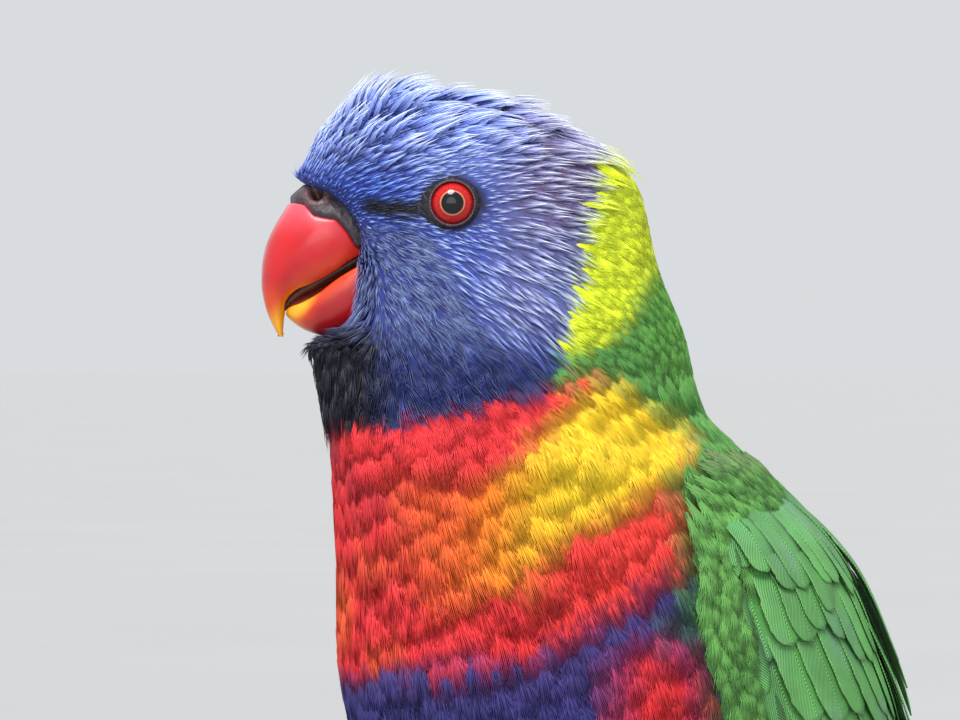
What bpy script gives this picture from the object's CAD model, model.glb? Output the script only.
# Looks of a rainbow lorikeet perched on a display stand: skin, feathers, bill, eyes, feet, perch
# and stand. Shapes are worked out in millimetres and made in metres.
import math
from itertools import product
from types import SimpleNamespace

import bmesh
import bpy
import numpy as np
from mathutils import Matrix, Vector
from mathutils.bvhtree import BVHTree
from mathutils.kdtree import KDTree


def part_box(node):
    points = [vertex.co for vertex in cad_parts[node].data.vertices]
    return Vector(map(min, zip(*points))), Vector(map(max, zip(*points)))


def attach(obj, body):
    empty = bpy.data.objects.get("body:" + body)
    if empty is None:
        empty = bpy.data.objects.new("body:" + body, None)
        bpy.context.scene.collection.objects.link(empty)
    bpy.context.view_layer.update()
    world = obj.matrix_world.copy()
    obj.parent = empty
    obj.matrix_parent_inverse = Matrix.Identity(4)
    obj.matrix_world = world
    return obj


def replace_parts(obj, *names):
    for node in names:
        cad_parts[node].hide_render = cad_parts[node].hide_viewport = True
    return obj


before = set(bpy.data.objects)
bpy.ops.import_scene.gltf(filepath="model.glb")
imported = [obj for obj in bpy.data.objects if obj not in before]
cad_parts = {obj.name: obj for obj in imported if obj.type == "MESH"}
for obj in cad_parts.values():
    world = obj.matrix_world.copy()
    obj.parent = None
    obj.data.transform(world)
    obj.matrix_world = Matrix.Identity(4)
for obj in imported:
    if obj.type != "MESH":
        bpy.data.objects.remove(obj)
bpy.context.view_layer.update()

MM = 0.001
WELD = 1e-7  # metres between points that count as one


def node_middle(node):
    low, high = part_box(node)
    return np.array((low + high) / 2) / MM


# Driving dimensions, in millimetres and radians
EYE_FORWARD = 6.0  # the eye is this far in front of the neck line
EYE_RADIUS = 4.3
EYES = {1: node_middle("left_eye"), -1: node_middle("right_eye")}
EYE_MIDDLE = (EYES[1] + EYES[-1]) / 2
HEAD_TURN = math.atan2(EYES[1][1] - EYES[-1][1], EYES[1][0] - EYES[-1][0])
HEAD_TURN_ENDS = (-46.0, -18.0)  # heights from the eye between which the neck twists
EYE_HEIGHT = EYE_MIDDLE[2]
NECK_LINE = EYE_MIDDLE[1] + EYE_FORWARD * math.cos(HEAD_TURN)
PERCH_Z = node_middle("perch")[2]
PERCH_RADIUS = 7.0
TAIL_LENGTH = 122.0
TAIL_SLOPE = math.radians(30)  # from straight down, backwards

# Outline of the plumage at each height from the eye: how far it reaches in front of the neck line
# (negative is forward) and behind it, its half width, and how deep the face is set in for the bill
BODY_LEVELS = np.array([
    [19.1, -16.5, -7.5, 4.2, 0],
    [18.0, -19.2, -2.0, 8.2, 0],
    [16.2, -21.8, 4.8, 11.4, 0],
    [13.4, -24.8, 11.4, 13.6, 0],
    [10.0, -27.6, 16.6, 14.9, 0],
    [6.6, -29.4, 20.4, 15.3, 0],
    [3.8, -30.4, 22.3, 15.7, 0],
    [2.4, -30.3, 23.0, 15.8, 1.4],
    [0.8, -29.8, 23.5, 15.9, 4.2],
    [-1.4, -29.0, 24.0, 16.0, 6.2],
    [-4.0, -28.2, 24.6, 16.3, 7.1],
    [-8.0, -27.6, 25.4, 16.9, 6.9],
    [-13.0, -27.4, 27.3, 17.8, 6.6],
    [-16.5, -27.5, 28.8, 18.4, 6.0],
    [-18.8, -28.0, 29.6, 18.9, 4.4],
    [-20.4, -28.8, 30.1, 19.3, 0.6],
    [-24.0, -27.9, 30.9, 20.4, 0],
    [-30.0, -26.8, 33.0, 22.6, 0],
    [-36.0, -26.2, 39.8, 27.4, 0],
    [-45.0, -25.6, 48.0, 31.6, 0],
    [-55.0, -25.2, 54.2, 33.2, 0],
    [-66.0, -25.2, 58.4, 34.2, 0],
    [-78.0, -23.4, 61.4, 34.0, 0],
    [-90.0, -18.0, 63.6, 32.6, 0],
    [-102.0, -7.5, 64.0, 29.4, 0],
    [-112.0, 4.4, 62.6, 25.0, 0],
    [-120.0, 15.0, 61.4, 20.0, 0],
    [-127.0, 25.5, 61.2, 16.4, 0],
    [-136.0, 39.0, 61.2, 11.4, 0],
    [-146.0, 49.5, 63.5, 8.4, 0],
    [-156.0, 58.5, 66.5, 6.0, 0],
])
# Outline that the closed wings lie on, in the same terms
WING_LEVELS = np.array([
    [-30, -26.8, 35.0, 24.0, 0],
    [-36, -26.2, 42.0, 29.0, 0],
    [-45, -25.0, 50.2, 34.2, 0],
    [-55, -24.0, 57.6, 37.0, 0],
    [-66, -24.3, 62.4, 38.6, 0],
    [-78, -22.3, 66.8, 39.0, 0],
    [-90, -16.8, 69.6, 38.2, 0],
    [-102, -6.0, 71.0, 35.6, 0],
    [-115, 8.0, 71.6, 31.0, 0],
    [-130, 24.0, 73.0, 25.0, 0],
    [-145, 38.0, 76.5, 19.5, 0],
    [-160, 50.0, 81.0, 15.0, 0],
    [-178, 64.0, 88.0, 11.0, 0],
])
CROWN = BODY_LEVELS[0][0]

# View of the bird's left side: how the camera stands, and what it takes in
VIEW_AZIMUTH = math.radians(62)
VIEW_LENS = 200.0
VIEW_WIDTH = 145.45  # width of the picture in the eye's plane
VIEW_SENSOR = 36.0
VIEW_SHIFT = (4.09, -23.33)  # middle of the picture, right of and above the eye
VIEW_RIGHT = np.array([math.cos(VIEW_AZIMUTH), math.sin(VIEW_AZIMUTH), 0])
VIEW_BACK = np.array([math.sin(VIEW_AZIMUTH), -math.cos(VIEW_AZIMUTH), 0])
UP = np.array([0.0, 0, 1])
LEFT = np.array([1.0, 0, 0])


def unit(vectors):
    return vectors / np.maximum(np.linalg.norm(vectors, axis=-1, keepdims=True), 1e-9)


def dot(a, b):
    return (a * b).sum(-1, keepdims=True)


def smooth(value, low, high):
    t = np.clip((value - low) / (high - low), 0, 1)
    return t * t * (3 - 2 * t)


def mix(a, b, share):
    return a + (b - a) * share


def turns(count):
    """Angles spread evenly round a full turn."""
    return np.arange(count) / count * 2 * math.pi


def only(keep, *arrays):
    """Chosen rows of several arrays."""
    return [values[keep] for values in arrays]


def paint(red, green, blue):
    """A colour given as screen values from 0 to 255, as the shader's own."""
    screen = np.array([red, green, blue]) / 255
    return np.where(screen > 0.04045, ((screen + 0.055) / 1.055) ** 2.4, screen / 12.92)


def curve(start, end, leave, arrive, t):
    """A smooth curve from start to end by its slopes at both, at t from 0 to 1."""
    t2, t3 = t**2, t**3
    found = (2 * t3 - 3 * t2 + 1) * start + (t3 - 2 * t2 + t) * leave
    return found + (3 * t2 - 2 * t3) * end + (t3 - t2) * arrive


def level_at(levels, height):
    """The row of an outline at any height, by a smooth curve through its rows."""
    heights = levels[:, 0]
    last = len(levels) - 1
    b = np.clip(np.searchsorted(-heights, -np.asarray(height, float)), 1, last)
    a = b - 1
    before = np.maximum(a - 1, 0)
    after = np.minimum(b + 1, last)
    span = heights[a] - heights[b]
    t = np.clip((heights[a] - height) / span, 0, 1)[..., None]
    rows = levels[:, 1:]
    leave = (rows[b] - rows[before]) * (span / (heights[before] - heights[b]))[..., None]
    arrive = (rows[after] - rows[a]) * (span / (heights[a] - heights[after]))[..., None]
    return curve(rows[a], rows[b], leave, arrive, t)


def turn_at(height):
    return HEAD_TURN * smooth(height, *HEAD_TURN_ENDS)


def placed(left, behind, height):
    """A point given in the neck line's own turned frame."""
    left, behind, height = np.broadcast_arrays(left, behind, height)
    turn = turn_at(height)
    x = left * np.cos(turn) - behind * np.sin(turn)
    y = NECK_LINE + left * np.sin(turn) + behind * np.cos(turn)
    return np.stack([x, y, EYE_HEIGHT + height], -1)


def unplaced(points):
    """How far points are to the left of the neck line, behind it, and above the eye."""
    height = points[..., 2] - EYE_HEIGHT
    turn = turn_at(height)
    x, y = points[..., 0], points[..., 1] - NECK_LINE
    return x * np.cos(turn) + y * np.sin(turn), y * np.cos(turn) - x * np.sin(turn), height


def in_head(left, forward, up):
    return placed(left, -EYE_FORWARD - np.asarray(forward, float), up)


def side_view(points):
    """Where points lie as the bird's left side is seen square to its face: right of and above the
    eye. The right side's points count as their mirror image."""
    left, behind, height = unplaced(points)
    return (placed(np.abs(left), behind, height) - EYE_MIDDLE) @ VIEW_RIGHT, height


def outline_point(levels, height, angle):
    """A point on an outline. The angle is 0 at the front and a quarter turn at the bird's left."""
    front, back, half, set_in = np.moveaxis(level_at(levels, height), -1, 0)
    forward = np.maximum(0, np.cos(angle))
    behind = (front + back) / 2 - (back - front) / 2 * np.cos(angle) + set_in * forward**4
    return placed(half * np.sin(angle), behind, np.asarray(height, float))


def outline_normal(levels, height, angle):
    step, turn_step = 0.5, math.radians(1)
    down = outline_point(levels, height - step, angle) - outline_point(levels, height + step, angle)
    ahead, behind = angle + turn_step, angle - turn_step
    around = outline_point(levels, height, ahead) - outline_point(levels, height, behind)
    return unit(np.cross(down, around))


def wobble(points, size, seed):
    """Smooth unevenness from -1 to 1, with lumps about this size."""
    draw = np.random.default_rng(seed)
    waves = draw.normal(size=(7, 3)) * 2 / size
    phases = draw.uniform(0, 2 * math.pi, 7)
    return np.sin(points @ waves.T + phases).mean(-1) * 1.6


# Meshes
def set_layer(mesh, name, kind, domain, values):
    layer = mesh.attributes.new(name, kind, domain)
    key = "vector" if kind == "FLOAT2" else "color"
    layer.data.foreach_set(key, np.ascontiguousarray(values, np.float32).ravel())


def add_object(name, data):
    thing = bpy.data.objects.new(name, data)
    bpy.context.scene.collection.objects.link(thing)
    return thing


def add_piece(name, points, faces, material, colours=None, maps=None):
    """A mesh piece from points in millimetres and triangles, riding on the one body."""
    mesh = bpy.data.meshes.new(name)
    faces = np.asarray(faces, np.int32)
    sides = faces.shape[1]
    mesh.vertices.add(len(points))
    mesh.vertices.foreach_set("co", (np.asarray(points) * MM).astype(np.float32).ravel())
    mesh.loops.add(faces.size)
    mesh.loops.foreach_set("vertex_index", faces.ravel())
    mesh.polygons.add(len(faces))
    mesh.polygons.foreach_set("loop_start", np.arange(0, faces.size, sides, dtype=np.int32))
    mesh.polygons.foreach_set("use_smooth", np.ones(len(faces), bool))
    mesh.update(calc_edges=True)
    if colours is not None:
        opaque = np.concatenate([colours, np.ones((len(colours), 1))], 1)
        set_layer(mesh, "Tint", "FLOAT_COLOR", "POINT", opaque)
    for layer, values in (maps or {}).items():
        set_layer(mesh, layer, "FLOAT2", "CORNER", values[faces.ravel()])
    piece = add_object(name, mesh)
    mesh.materials.append(material)
    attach(piece, "root")
    return piece


def grid_faces(rows, columns):
    """Quads over a grid of points, joined round into a tube."""
    i = np.arange(rows - 1)[:, None] * columns
    j = np.arange(columns)[None]
    nxt = (j + 1) % columns
    return np.stack([i + j, i + nxt, i + columns + nxt, i + columns + j], -1).reshape(-1, 4)


def tube_mesh(rings):
    """Points and faces of a closed body through rings, each end drawn in to its middle."""
    first, last = rings[:1].mean(1, keepdims=True), rings[-1:].mean(1, keepdims=True)
    ends = [np.broadcast_to(end, rings[:1].shape) for end in (first, last)]
    full = np.concatenate([ends[0], rings, ends[1]])
    return full.reshape(-1, 3), grid_faces(len(full), full.shape[1])


def with_ends(values):
    """Values at the rings of such a body, its drawn-in ends included."""
    return np.concatenate([values[:1], values, values[-1:]])


def merge(piece):
    """Welds the points that lie on one another, and turns the faces to point out."""
    work = bmesh.new()
    work.from_mesh(piece.data)
    bmesh.ops.remove_doubles(work, verts=work.verts, dist=WELD)
    bmesh.ops.recalc_face_normals(work, faces=work.faces)
    work.to_mesh(piece.data)
    work.free()
    return piece


def joined(parts):
    """Several (points, faces) as one."""
    shift, points, faces = 0, [], []
    for part_points, part_faces in parts:
        points.append(part_points)
        faces.append(part_faces + shift)
        shift += len(part_points)
    return np.concatenate(points), np.concatenate(faces)


def along_path(path, radii, around):
    """Rings of a round body along a path. Radii may differ round the ring."""
    tangent = unit(np.gradient(path, axis=0))
    side = unit(LEFT - dot(tangent, LEFT) * tangent)
    other = np.cross(tangent, side)
    angle = turns(around)[:, None]
    out = side[:, None] * np.cos(angle) + other[:, None] * np.sin(angle)
    return path[:, None] + out * (radii[..., None] if radii.ndim == 2 else radii[:, None, None])


def through(rows, count):
    """Smoothly more rows through the given ones, evenly by their number."""
    rows = np.asarray(rows, float)
    last = len(rows) - 1
    place = np.linspace(0, last, count)
    i = np.minimum(place.astype(int), last - 1)
    t = (place - i).reshape(-1, *[1] * (rows.ndim - 1))
    slope = np.gradient(rows, axis=0)
    return curve(rows[i], rows[i + 1], slope[i], slope[i + 1], t)


# Materials
class Shader:
    """A material's node tree, with short ways to add and join nodes."""

    def __init__(self, name, roughness=0.5, **sockets):
        self.material = bpy.data.materials.new(name)
        self.material.use_nodes = True
        self.tree = self.material.node_tree
        self.body = self.tree.nodes["Principled BSDF"]
        self.body.inputs["Roughness"].default_value = roughness
        for key, value in sockets.items():
            self.body.inputs[key.replace("_", " ")].default_value = value

    def add(self, kind, **values):
        node = self.tree.nodes.new(kind)
        for key, value in values.items():
            if key in node.inputs:
                node.inputs[key].default_value = value
            else:
                setattr(node, key, value)
        return node

    def join(self, source, target):
        self.tree.links.new(source, target)

    def tint(self):
        return self.add("ShaderNodeAttribute", attribute_name="Tint").outputs["Color"]

    def place(self):
        return self.add("ShaderNodeTexCoord").outputs["Object"]

    def noise(self, scale, detail, stretch=None):
        place = self.place()
        if stretch:
            mapping = self.add("ShaderNodeMapping")
            mapping.inputs["Scale"].default_value = stretch
            self.join(place, mapping.inputs["Vector"])
            place = mapping.outputs["Vector"]
        node = self.add("ShaderNodeTexNoise", Scale=scale, Detail=detail)
        self.join(place, node.inputs["Vector"])
        return node.outputs["Fac"]

    def spread(self, value, low, high):
        """The value stretched to run from low to high over the middle of its range."""
        node = self.add("ShaderNodeMapRange")
        ends = {"From Min": 0.3, "From Max": 0.7, "To Min": low, "To Max": high}
        for key, end in ends.items():
            node.inputs[key].default_value = end
        self.join(value, node.inputs["Value"])
        return node.outputs["Result"]

    def scaled(self, colour, value):
        """A colour made lighter or darker by a value near 1."""
        node = self.add("ShaderNodeVectorMath", operation="SCALE")
        self.join(colour, node.inputs[0])
        self.join(value, node.inputs["Scale"])
        return node.outputs[0]

    def blend(self, colour_a, colour_b, share):
        node = self.add("ShaderNodeMix", data_type="RGBA")
        node.inputs[6].default_value = (*colour_a, 1)
        node.inputs[7].default_value = (*colour_b, 1)
        self.join(share, node.inputs[0])
        return node.outputs[2]

    def bump(self, height, distance, strength):
        node = self.add("ShaderNodeBump", Strength=strength, Distance=distance)
        self.join(height, node.inputs["Height"])
        self.join(node.outputs["Normal"], self.body.inputs["Normal"])

    def colour(self, source):
        self.join(source, self.body.inputs["Base Color"])
        return self.material

    def tinted(self, value, low, high):
        """The mesh's own tint as the base colour, darker and lighter by a value."""
        return self.colour(self.scaled(self.tint(), self.spread(value, low, high)))


def plumage(name, roughness, uneven=0.12):
    """Feather material: the tint in the mesh, a little uneven, with a fine grain."""
    shader = Shader(name, roughness)
    return shader.tinted(shader.noise(900, 3), 1 - uneven, 1 + uneven)


def textured(name, roughness, tone, shades, bump, relief=None, **sockets):
    """Material in the mesh's own tint. The noise tone darkens and lightens it between the shades,
    and the noise relief, or else the same one, roughens it by the bump."""
    shader = Shader(name, roughness, **sockets)
    shader.bump(shader.noise(*(relief or tone)), *bump)
    return shader.tinted(shader.noise(*tone), *shades)


def barbed(name, roughness, spacing=0.42, contrast=0.13, across="Y"):
    """Material of the large vanes: fine barbs slant from the shaft, as the map Barbs runs."""
    shader = Shader(name, roughness)
    place = shader.add("ShaderNodeUVMap", uv_map="Barbs").outputs["UV"]
    wave = shader.add("ShaderNodeTexWave", bands_direction=across, Scale=1 / (spacing * 3.2))
    wave.inputs["Distortion"].default_value = 0.6
    wave.inputs["Detail Scale"].default_value = 0.6
    shader.join(place, wave.inputs["Vector"])
    shader.bump(wave.outputs["Fac"], 0.00016, 0.8)
    fine = shader.spread(wave.outputs["Fac"], 1 - contrast, 1 + contrast)
    patchy = shader.spread(shader.noise(260, 4), 0.86, 1.12)
    return shader.colour(shader.scaled(shader.scaled(shader.tint(), fine), patchy))


# Surface of the plumage, as a grid of points over the whole body
def body_grid():
    above = np.concatenate([np.arange(CROWN, -36, -1.0), np.arange(-36, -156.1, -2.5)])
    angle = turns(120)
    rings = outline_point(BODY_LEVELS, above[:, None], angle[None, :])
    top = rings[0].mean(0)
    shares = np.array([0.0, 0.35, 0.7])[:, None, None]
    cap = top + (rings[0] - top) * shares
    cap[..., 2] += 0.5 * (1 - shares[..., 0] ** 2)
    grid = np.concatenate([cap, rings])
    down = np.gradient(grid, axis=0)
    around = np.roll(grid, -1, 1) - np.roll(grid, 1, 1)
    normal = unit(np.cross(down, around))
    normal[0] = UP
    return grid, normal


GRID, GRID_NORMAL = body_grid()


def coat_depth(height):
    """How deep the skin lies under the coat's outer surface."""
    deep = mix(1.0, 2.4, smooth(-height, 20, 50)) - 1.2 * smooth(-height, 118, 150)
    return deep + 1.7 * smooth(height, 7, 14)


def from_eyes(points):
    """Distance to the nearer eye's middle line, and along it outwards from the eyeball's middle."""
    left = in_head(1, 0, 0) - in_head(0, 0, 0)
    best, out = np.full(points.shape[:-1], 1e9), np.zeros(points.shape[:-1])
    for side, centre in EYES.items():
        along = (points - centre) @ (left * side)
        across = np.linalg.norm(points - centre - along[..., None] * left * side, axis=-1)
        nearer = (across < best) & (along > 0)
        best, out = np.where(nearer, across, best), np.where(nearer, along, out)
    return best, out


def skin_grid():
    height = GRID[..., 2] - EYE_HEIGHT
    across, _ = from_eyes(GRID)
    depth = coat_depth(height) + 0.5 * np.exp(-((across / 4.6) ** 2))
    return GRID - GRID_NORMAL * depth[..., None]


SKIN = skin_grid()

# Markings, as places in the side view: right of and above the eye, in millimetres
HOOD_BACK = ([-30, -25, -20, -14, -6.7, 1, 8.5, 10], [14.4, 16.2, 17.2, 18.8, 20.2, 22, 24, 60])
HOOD_EDGE = ([-21, -8, 4, 13, 19, 24], [-35.4, -33.4, -31.8, -29.2, -27.2, -24.5])
COLLAR_BACK = ([-24.5, -22, -19, -14, -9, -5, 0], [14, 21, 25, 28, 30, 32.5, 50])
BREAST_BACK = (
    [-66, -59.7, -53.6, -47.6, -43, -40, -37.7, -35.5, -32, -29, -27],
    [30, 33.5, 35, 35.6, 33, 34.5, 36.4, 36, 31, 27, 25],
)
BELLY_TOP = ([-20, -17, -3.5, 10, 16, 28, 36], [-71, -70.8, -69.8, -67.2, -64.8, -59.3, -54])
GOLD_TOP = ([-8, 0, 4.5, 12.3, 19, 23], [-54, -46.5, -40.6, -36, -28.3, -26])
GOLD_BOTTOM = (
    [-8, 4, 12.3, 15, 20.8, 28.5, 34, 36.2],
    [-62, -59, -56.5, -50.3, -48, -44.8, -40.6, -36.8],
)

FOREHEAD = paint(46, 90, 214)
CROWN_BLUE = paint(138, 164, 244)
CROWN_BACK = paint(126, 124, 184)
CHEEK = paint(66, 98, 216)
EAR = paint(128, 142, 216)
THROAT = paint(42, 56, 124)
CHIN = paint(22, 24, 44)
HEAD_PALE = paint(196, 220, 255)
FOREHEAD_PALE = paint(128, 172, 255)
CROWN_PALE = paint(214, 226, 255)
BACK_PALE = paint(232, 232, 255)
HEAD_DARK = paint(36, 34, 88)
CROWN_DARK = paint(76, 84, 158)
BACK_DARK = paint(84, 58, 84)
LORES = paint(14, 12, 18)
ROOT_TONE = np.array([0.93, 0.8, 0.8])  # of a body feather's root against its end
LIME = paint(228, 252, 46)
GREEN = paint(92, 162, 76)
NAPE_GREEN = paint(110, 188, 56)
SCARLET = paint(232, 46, 54)
SALMON = paint(252, 66, 58)
ORANGE = paint(255, 126, 30)
GOLD = paint(255, 222, 34)
VIOLET = paint(66, 58, 132)
BELLY_BLUE = paint(40, 52, 132)
VENT_YELLOW = paint(150, 180, 40)
PLUM = paint(70, 34, 70)


def lookup(table, value):
    return np.interp(value, *table)


def blended(colours, share, other):
    return colours + (other - colours) * share[..., None]


def zone_shares(points, ragged=1.0, seed=5):
    """How much of each zone of colour there is at points, and where they lie in the side view."""
    right, up = side_view(points)
    stray = np.random.default_rng(seed).normal(size=(2, len(points))) * 0.3 * ragged
    right = right + stray[0] + wobble(points, 9, 11) * 0.7
    up = up + stray[1] + wobble(points, 7, 12) * 0.7
    above = up - lookup(HOOD_EDGE, right)
    ahead = lookup(BREAST_BACK, up) - right
    shallow = -26.5 - up + 20 * smooth(-right, -17, -14)
    under = 3 * smooth(16 - right, 0, 4) + np.minimum(-above, shallow)
    belly = smooth(lookup(BELLY_TOP, right) - up, -0.8, 0.8)
    gold_in = np.minimum(lookup(GOLD_TOP, right) - up, up - lookup(GOLD_BOTTOM, right))
    shares = {
        "hood": smooth(lookup(HOOD_BACK, up) - right, -0.5, 0.5) * smooth(above, -0.4, 0.4),
        "collar": smooth(lookup(COLLAR_BACK, up) - right, -1.2, 1.2) * smooth(up, -25.5, -23.5),
        "front": smooth(ahead, -0.8, 0.8) * smooth(under, -1, 1),
        "low": smooth(40 - right, -2, 2) * smooth(-up, 60, 66) * belly,
        "belly": belly,
        "gold": smooth(gold_in, -1.0, 2.4),
    }
    shares["front"] = np.maximum(shares["front"], shares["low"])
    return right, up, shares


def breast_colours(points, right, up, shares):
    """Red and gold of the breast, violet and blue of the belly, and the yellow-green vent."""
    red = blended(SCARLET, smooth(right, 8, 26), SALMON)
    amber = blended(ORANGE, smooth(right, 2, 17), GOLD)
    fleck = smooth(wobble(points, 6, 31), 0.1, 0.7) * smooth(-up, 38, 46) * 0.7
    red = blended(red, fleck * smooth(20 - right, 0, 12), ORANGE)
    breast = blended(red, shares["gold"] * smooth(right, -9, 5), amber)
    seam = smooth(-right, 6, 16) * smooth(up, -52, -40) * smooth(wobble(points, 4, 33), 0, 0.6)
    breast = blended(breast, seam * 0.7, PLUM)
    flank = smooth(right, 22, 27) * smooth(37 - right, -1, 2) * smooth(-up, 64, 69)
    belly = blended(VIOLET, smooth(-up, 70, 84), BELLY_BLUE)
    belly = blended(belly, flank * smooth(up, -86, -78), SCARLET)
    belly = blended(belly, smooth(-up, 98, 112) * 0.85, VENT_YELLOW)
    return blended(breast, shares["belly"], belly)


def hood_colours(right, up):
    """Blues of the head: the feathers' own, their pale shafts, and their dark edges."""
    top = smooth(up, 1, 9)
    back = smooth(right, 4, 17) * smooth(up, -14, 4)
    front = smooth(up, -6, 0) * smooth(10 - up, 0, 8) * smooth(-right, -2, 12)
    low = smooth(-up, 16, 26)
    chin = smooth(-up, 17.5, 22) * smooth(-right, 6, 14)
    ear = smooth(right, 2, 12) * (1 - low)

    main, pale = blended(CHEEK, ear, EAR), blended(HEAD_PALE, ear * 0.6, BACK_PALE)
    dark = HEAD_DARK
    for share, parts in (
        (top, (CROWN_BLUE, CROWN_PALE, CROWN_DARK)),
        (back, (CROWN_BACK, BACK_PALE, BACK_DARK)),
        (front, (FOREHEAD, FOREHEAD_PALE, HEAD_DARK)),
        (low, (THROAT, THROAT * 3.0, THROAT * 0.4)),
        (chin, (CHIN, CHIN * 2.2, CHIN * 0.4)),
    ):
        main, pale, dark = (blended(c, share, p) for c, p in zip((main, pale, dark), parts))
    bare = np.exp(-(((up + 1.0 + 0.04 * right) / 1.4) ** 4))
    bare = bare * smooth(-right, 2, 4) * smooth(right, -14.5, -11.5)
    bare = np.maximum(bare, 0.85 * smooth(5.4 - np.hypot(right, up * 1.15), 0, 1.2))
    return (blended(colour, bare, LORES) for colour in (main, pale, dark))


def markings(points, ragged=1.0, seed=5, hooded=1.0):
    """Colours of the plumage at points: its own, its pale shafts', its dark roots' and edges'."""
    right, up, shares = zone_shares(points, ragged, seed)
    behind = unplaced(points)[1]
    nape = smooth(up, -40, 5) * smooth(behind, 18, 30)
    main = blended(GREEN, nape, NAPE_GREEN)
    main = blended(main, shares["front"], breast_colours(points, right, up, shares))
    main = blended(main, shares["collar"] * (1 - shares["front"]), LIME)
    pale, dark = main * 1.3 + 0.01, main * ROOT_TONE
    blues = hood_colours(right, up)
    share = shares["hood"] * hooded
    return [blended(own, share, blue) for own, blue in zip((main, pale, dark), blues)]


def unhooded(points, seed):
    """Markings of the body's own feathers, which go on under those of the hood."""
    return markings(points, seed=seed, hooded=0)


# Lie of the coat
LORES_PLACE = in_head(0, 15.0, -1.7)
TAIL_ALONG = np.array([0, math.sin(TAIL_SLOPE), -math.cos(TAIL_SLOPE)])


def lie(points, normals):
    """The way feathers point: out from the lores over the head, then down the body."""
    left, behind, height = unplaced(points)
    turn = turn_at(height)
    back = np.stack([-np.sin(turn), np.cos(turn), np.zeros_like(turn)], -1)
    radial = unit(points - LORES_PLACE)
    brow = smooth(-behind, 22, 28) * smooth(height, 0, 3)
    over = 0.75 * smooth(height, -5, 3) + 1.3 * brow
    down = 0.9 * smooth(behind, 12, 30) * smooth(height, 20, -5)
    down = down + 2.5 * smooth(-height, 55, 90) + 0.25 * smooth(-height, 30, 50)
    down = down + 2.5 * smooth(-height, 15, 19) * smooth(-behind, 17, 24) - 1.6 * brow
    gape = smooth(-height, 7, 10) * smooth(height, -21, -17) * smooth(-behind, 15.5, 19)
    over = over - 1.7 * gape
    flow = radial + back * over[:, None] - UP * down[:, None]
    flow = flow + TAIL_ALONG * 2 * smooth(-height, 105, 125)[:, None]
    return unit(flow - dot(flow, normals) * normals)


def surface_samples(grid, normals, count, seed, keep):
    """Random points spread evenly over a grid's quads, and their normals. Quads are kept by their
    height from the eye."""
    draw = np.random.default_rng(seed)
    columns = grid.shape[1]
    a, b = grid[:-1], np.roll(grid, -1, 1)[:-1]
    c, d = np.roll(grid, -1, 1)[1:], grid[1:]
    area = np.linalg.norm(np.cross(c - a, d - b), axis=-1) / 2
    area = area * keep((a + c)[..., 2] / 2 - EYE_HEIGHT)
    i, j = np.divmod(draw.choice(area.size, count, p=(area / area.sum()).ravel()), columns)
    s, t = draw.uniform(size=(2, count, 1))

    def at(values):
        after = (j + 1) % columns
        top = mix(values[i, j], values[i, after], s)
        return mix(top, mix(values[i + 1, j], values[i + 1, after], s), t)

    return at(grid), unit(at(normals))


def thinned(points, spacing):
    """Which of the points to keep so that each has its own spacing to itself."""
    cells = np.floor(points / float(spacing.max())).astype(int)
    near = list(product((-1, 0, 1), repeat=3))
    taken, kept = {}, []
    rows = zip(points.tolist(), cells.tolist(), spacing.tolist())
    for number, (place, (x, y, z), room) in enumerate(rows):
        close = (taken.get((x + dx, y + dy, z + dz), ()) for dx, dy, dz in near)
        if all(math.dist(place, other) >= room for others in close for other in others):
            taken.setdefault((x, y, z), []).append(place)
            kept.append(number)
    return np.array(kept)


# Feather templates: points (across in half widths, along in lengths, rise in half widths), faces,
# and how near the edge each point counts, from 0 at the shaft to 1
def barb_prism(start, middle, end, width, rise, rings=4, height=0.4):
    """A thin three-sided barb along a bent line, drawn in to its end."""
    shares = np.linspace(0, 1, rings)[:, None]
    line = (1 - shares) ** 2 * start + 2 * shares * (1 - shares) * middle + shares**2 * end
    tangent = unit(np.gradient(line, axis=0))
    across = np.stack([-tangent[:, 1], tangent[:, 0]], -1)
    full = width * np.interp(shares[:, 0], [0, 0.45, 0.8, 1], [0.6, 1, 0.75, 0.08])
    points = []
    for i in range(rings):
        for side, top in ((-0.5, 0), (0, height), (0.5, 0)):
            points.append([*(line[i] + across[i] * side * full[i]), rise[i] + top * full[i]])
    faces = []
    for i in range(rings - 1):
        for j in range(3):
            a, b = 3 * i + j, 3 * i + (j + 1) % 3
            faces += [[a, b + 3, b], [a, a + 3, b + 3]]
    end_ring = 3 * (rings - 1)
    faces += [[0, 1, 2], [end_ring, end_ring + 2, end_ring + 1]]
    return np.array(points), np.array(faces)


def gathered(parts, edges):
    points, faces = joined(parts)
    edge = np.concatenate([np.full(len(p), e) for (p, _), e in zip(parts, edges)])
    return points, faces, edge


def streak_template(barbs, aspect, seed):
    """A narrow pointed feather: barbs that leave the shaft's foot and draw together at the tip."""
    draw = np.random.default_rng(seed)
    parts, edges = [], []
    width = 2.3 / (2 * barbs + 1)
    stretch = np.array([1, aspect])
    foot = np.array([0, 0.03])
    for k in range(-barbs, barbs + 1):
        t = k / barbs
        end = np.array([0.34 * t, 1 - 0.36 * abs(t) + draw.uniform(-0.1, 0.05)])
        middle = np.array([1.3 * t, 0.46])
        rise = -0.16 * abs(t) - 0.05 * (k % 2) * np.ones(4)
        points, faces = barb_prism(foot * stretch, middle * stretch, end * stretch, width, rise)
        parts.append((points / [1, aspect, 1], faces))
        edges.append(abs(t))
    return gathered(parts, edges)


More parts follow.
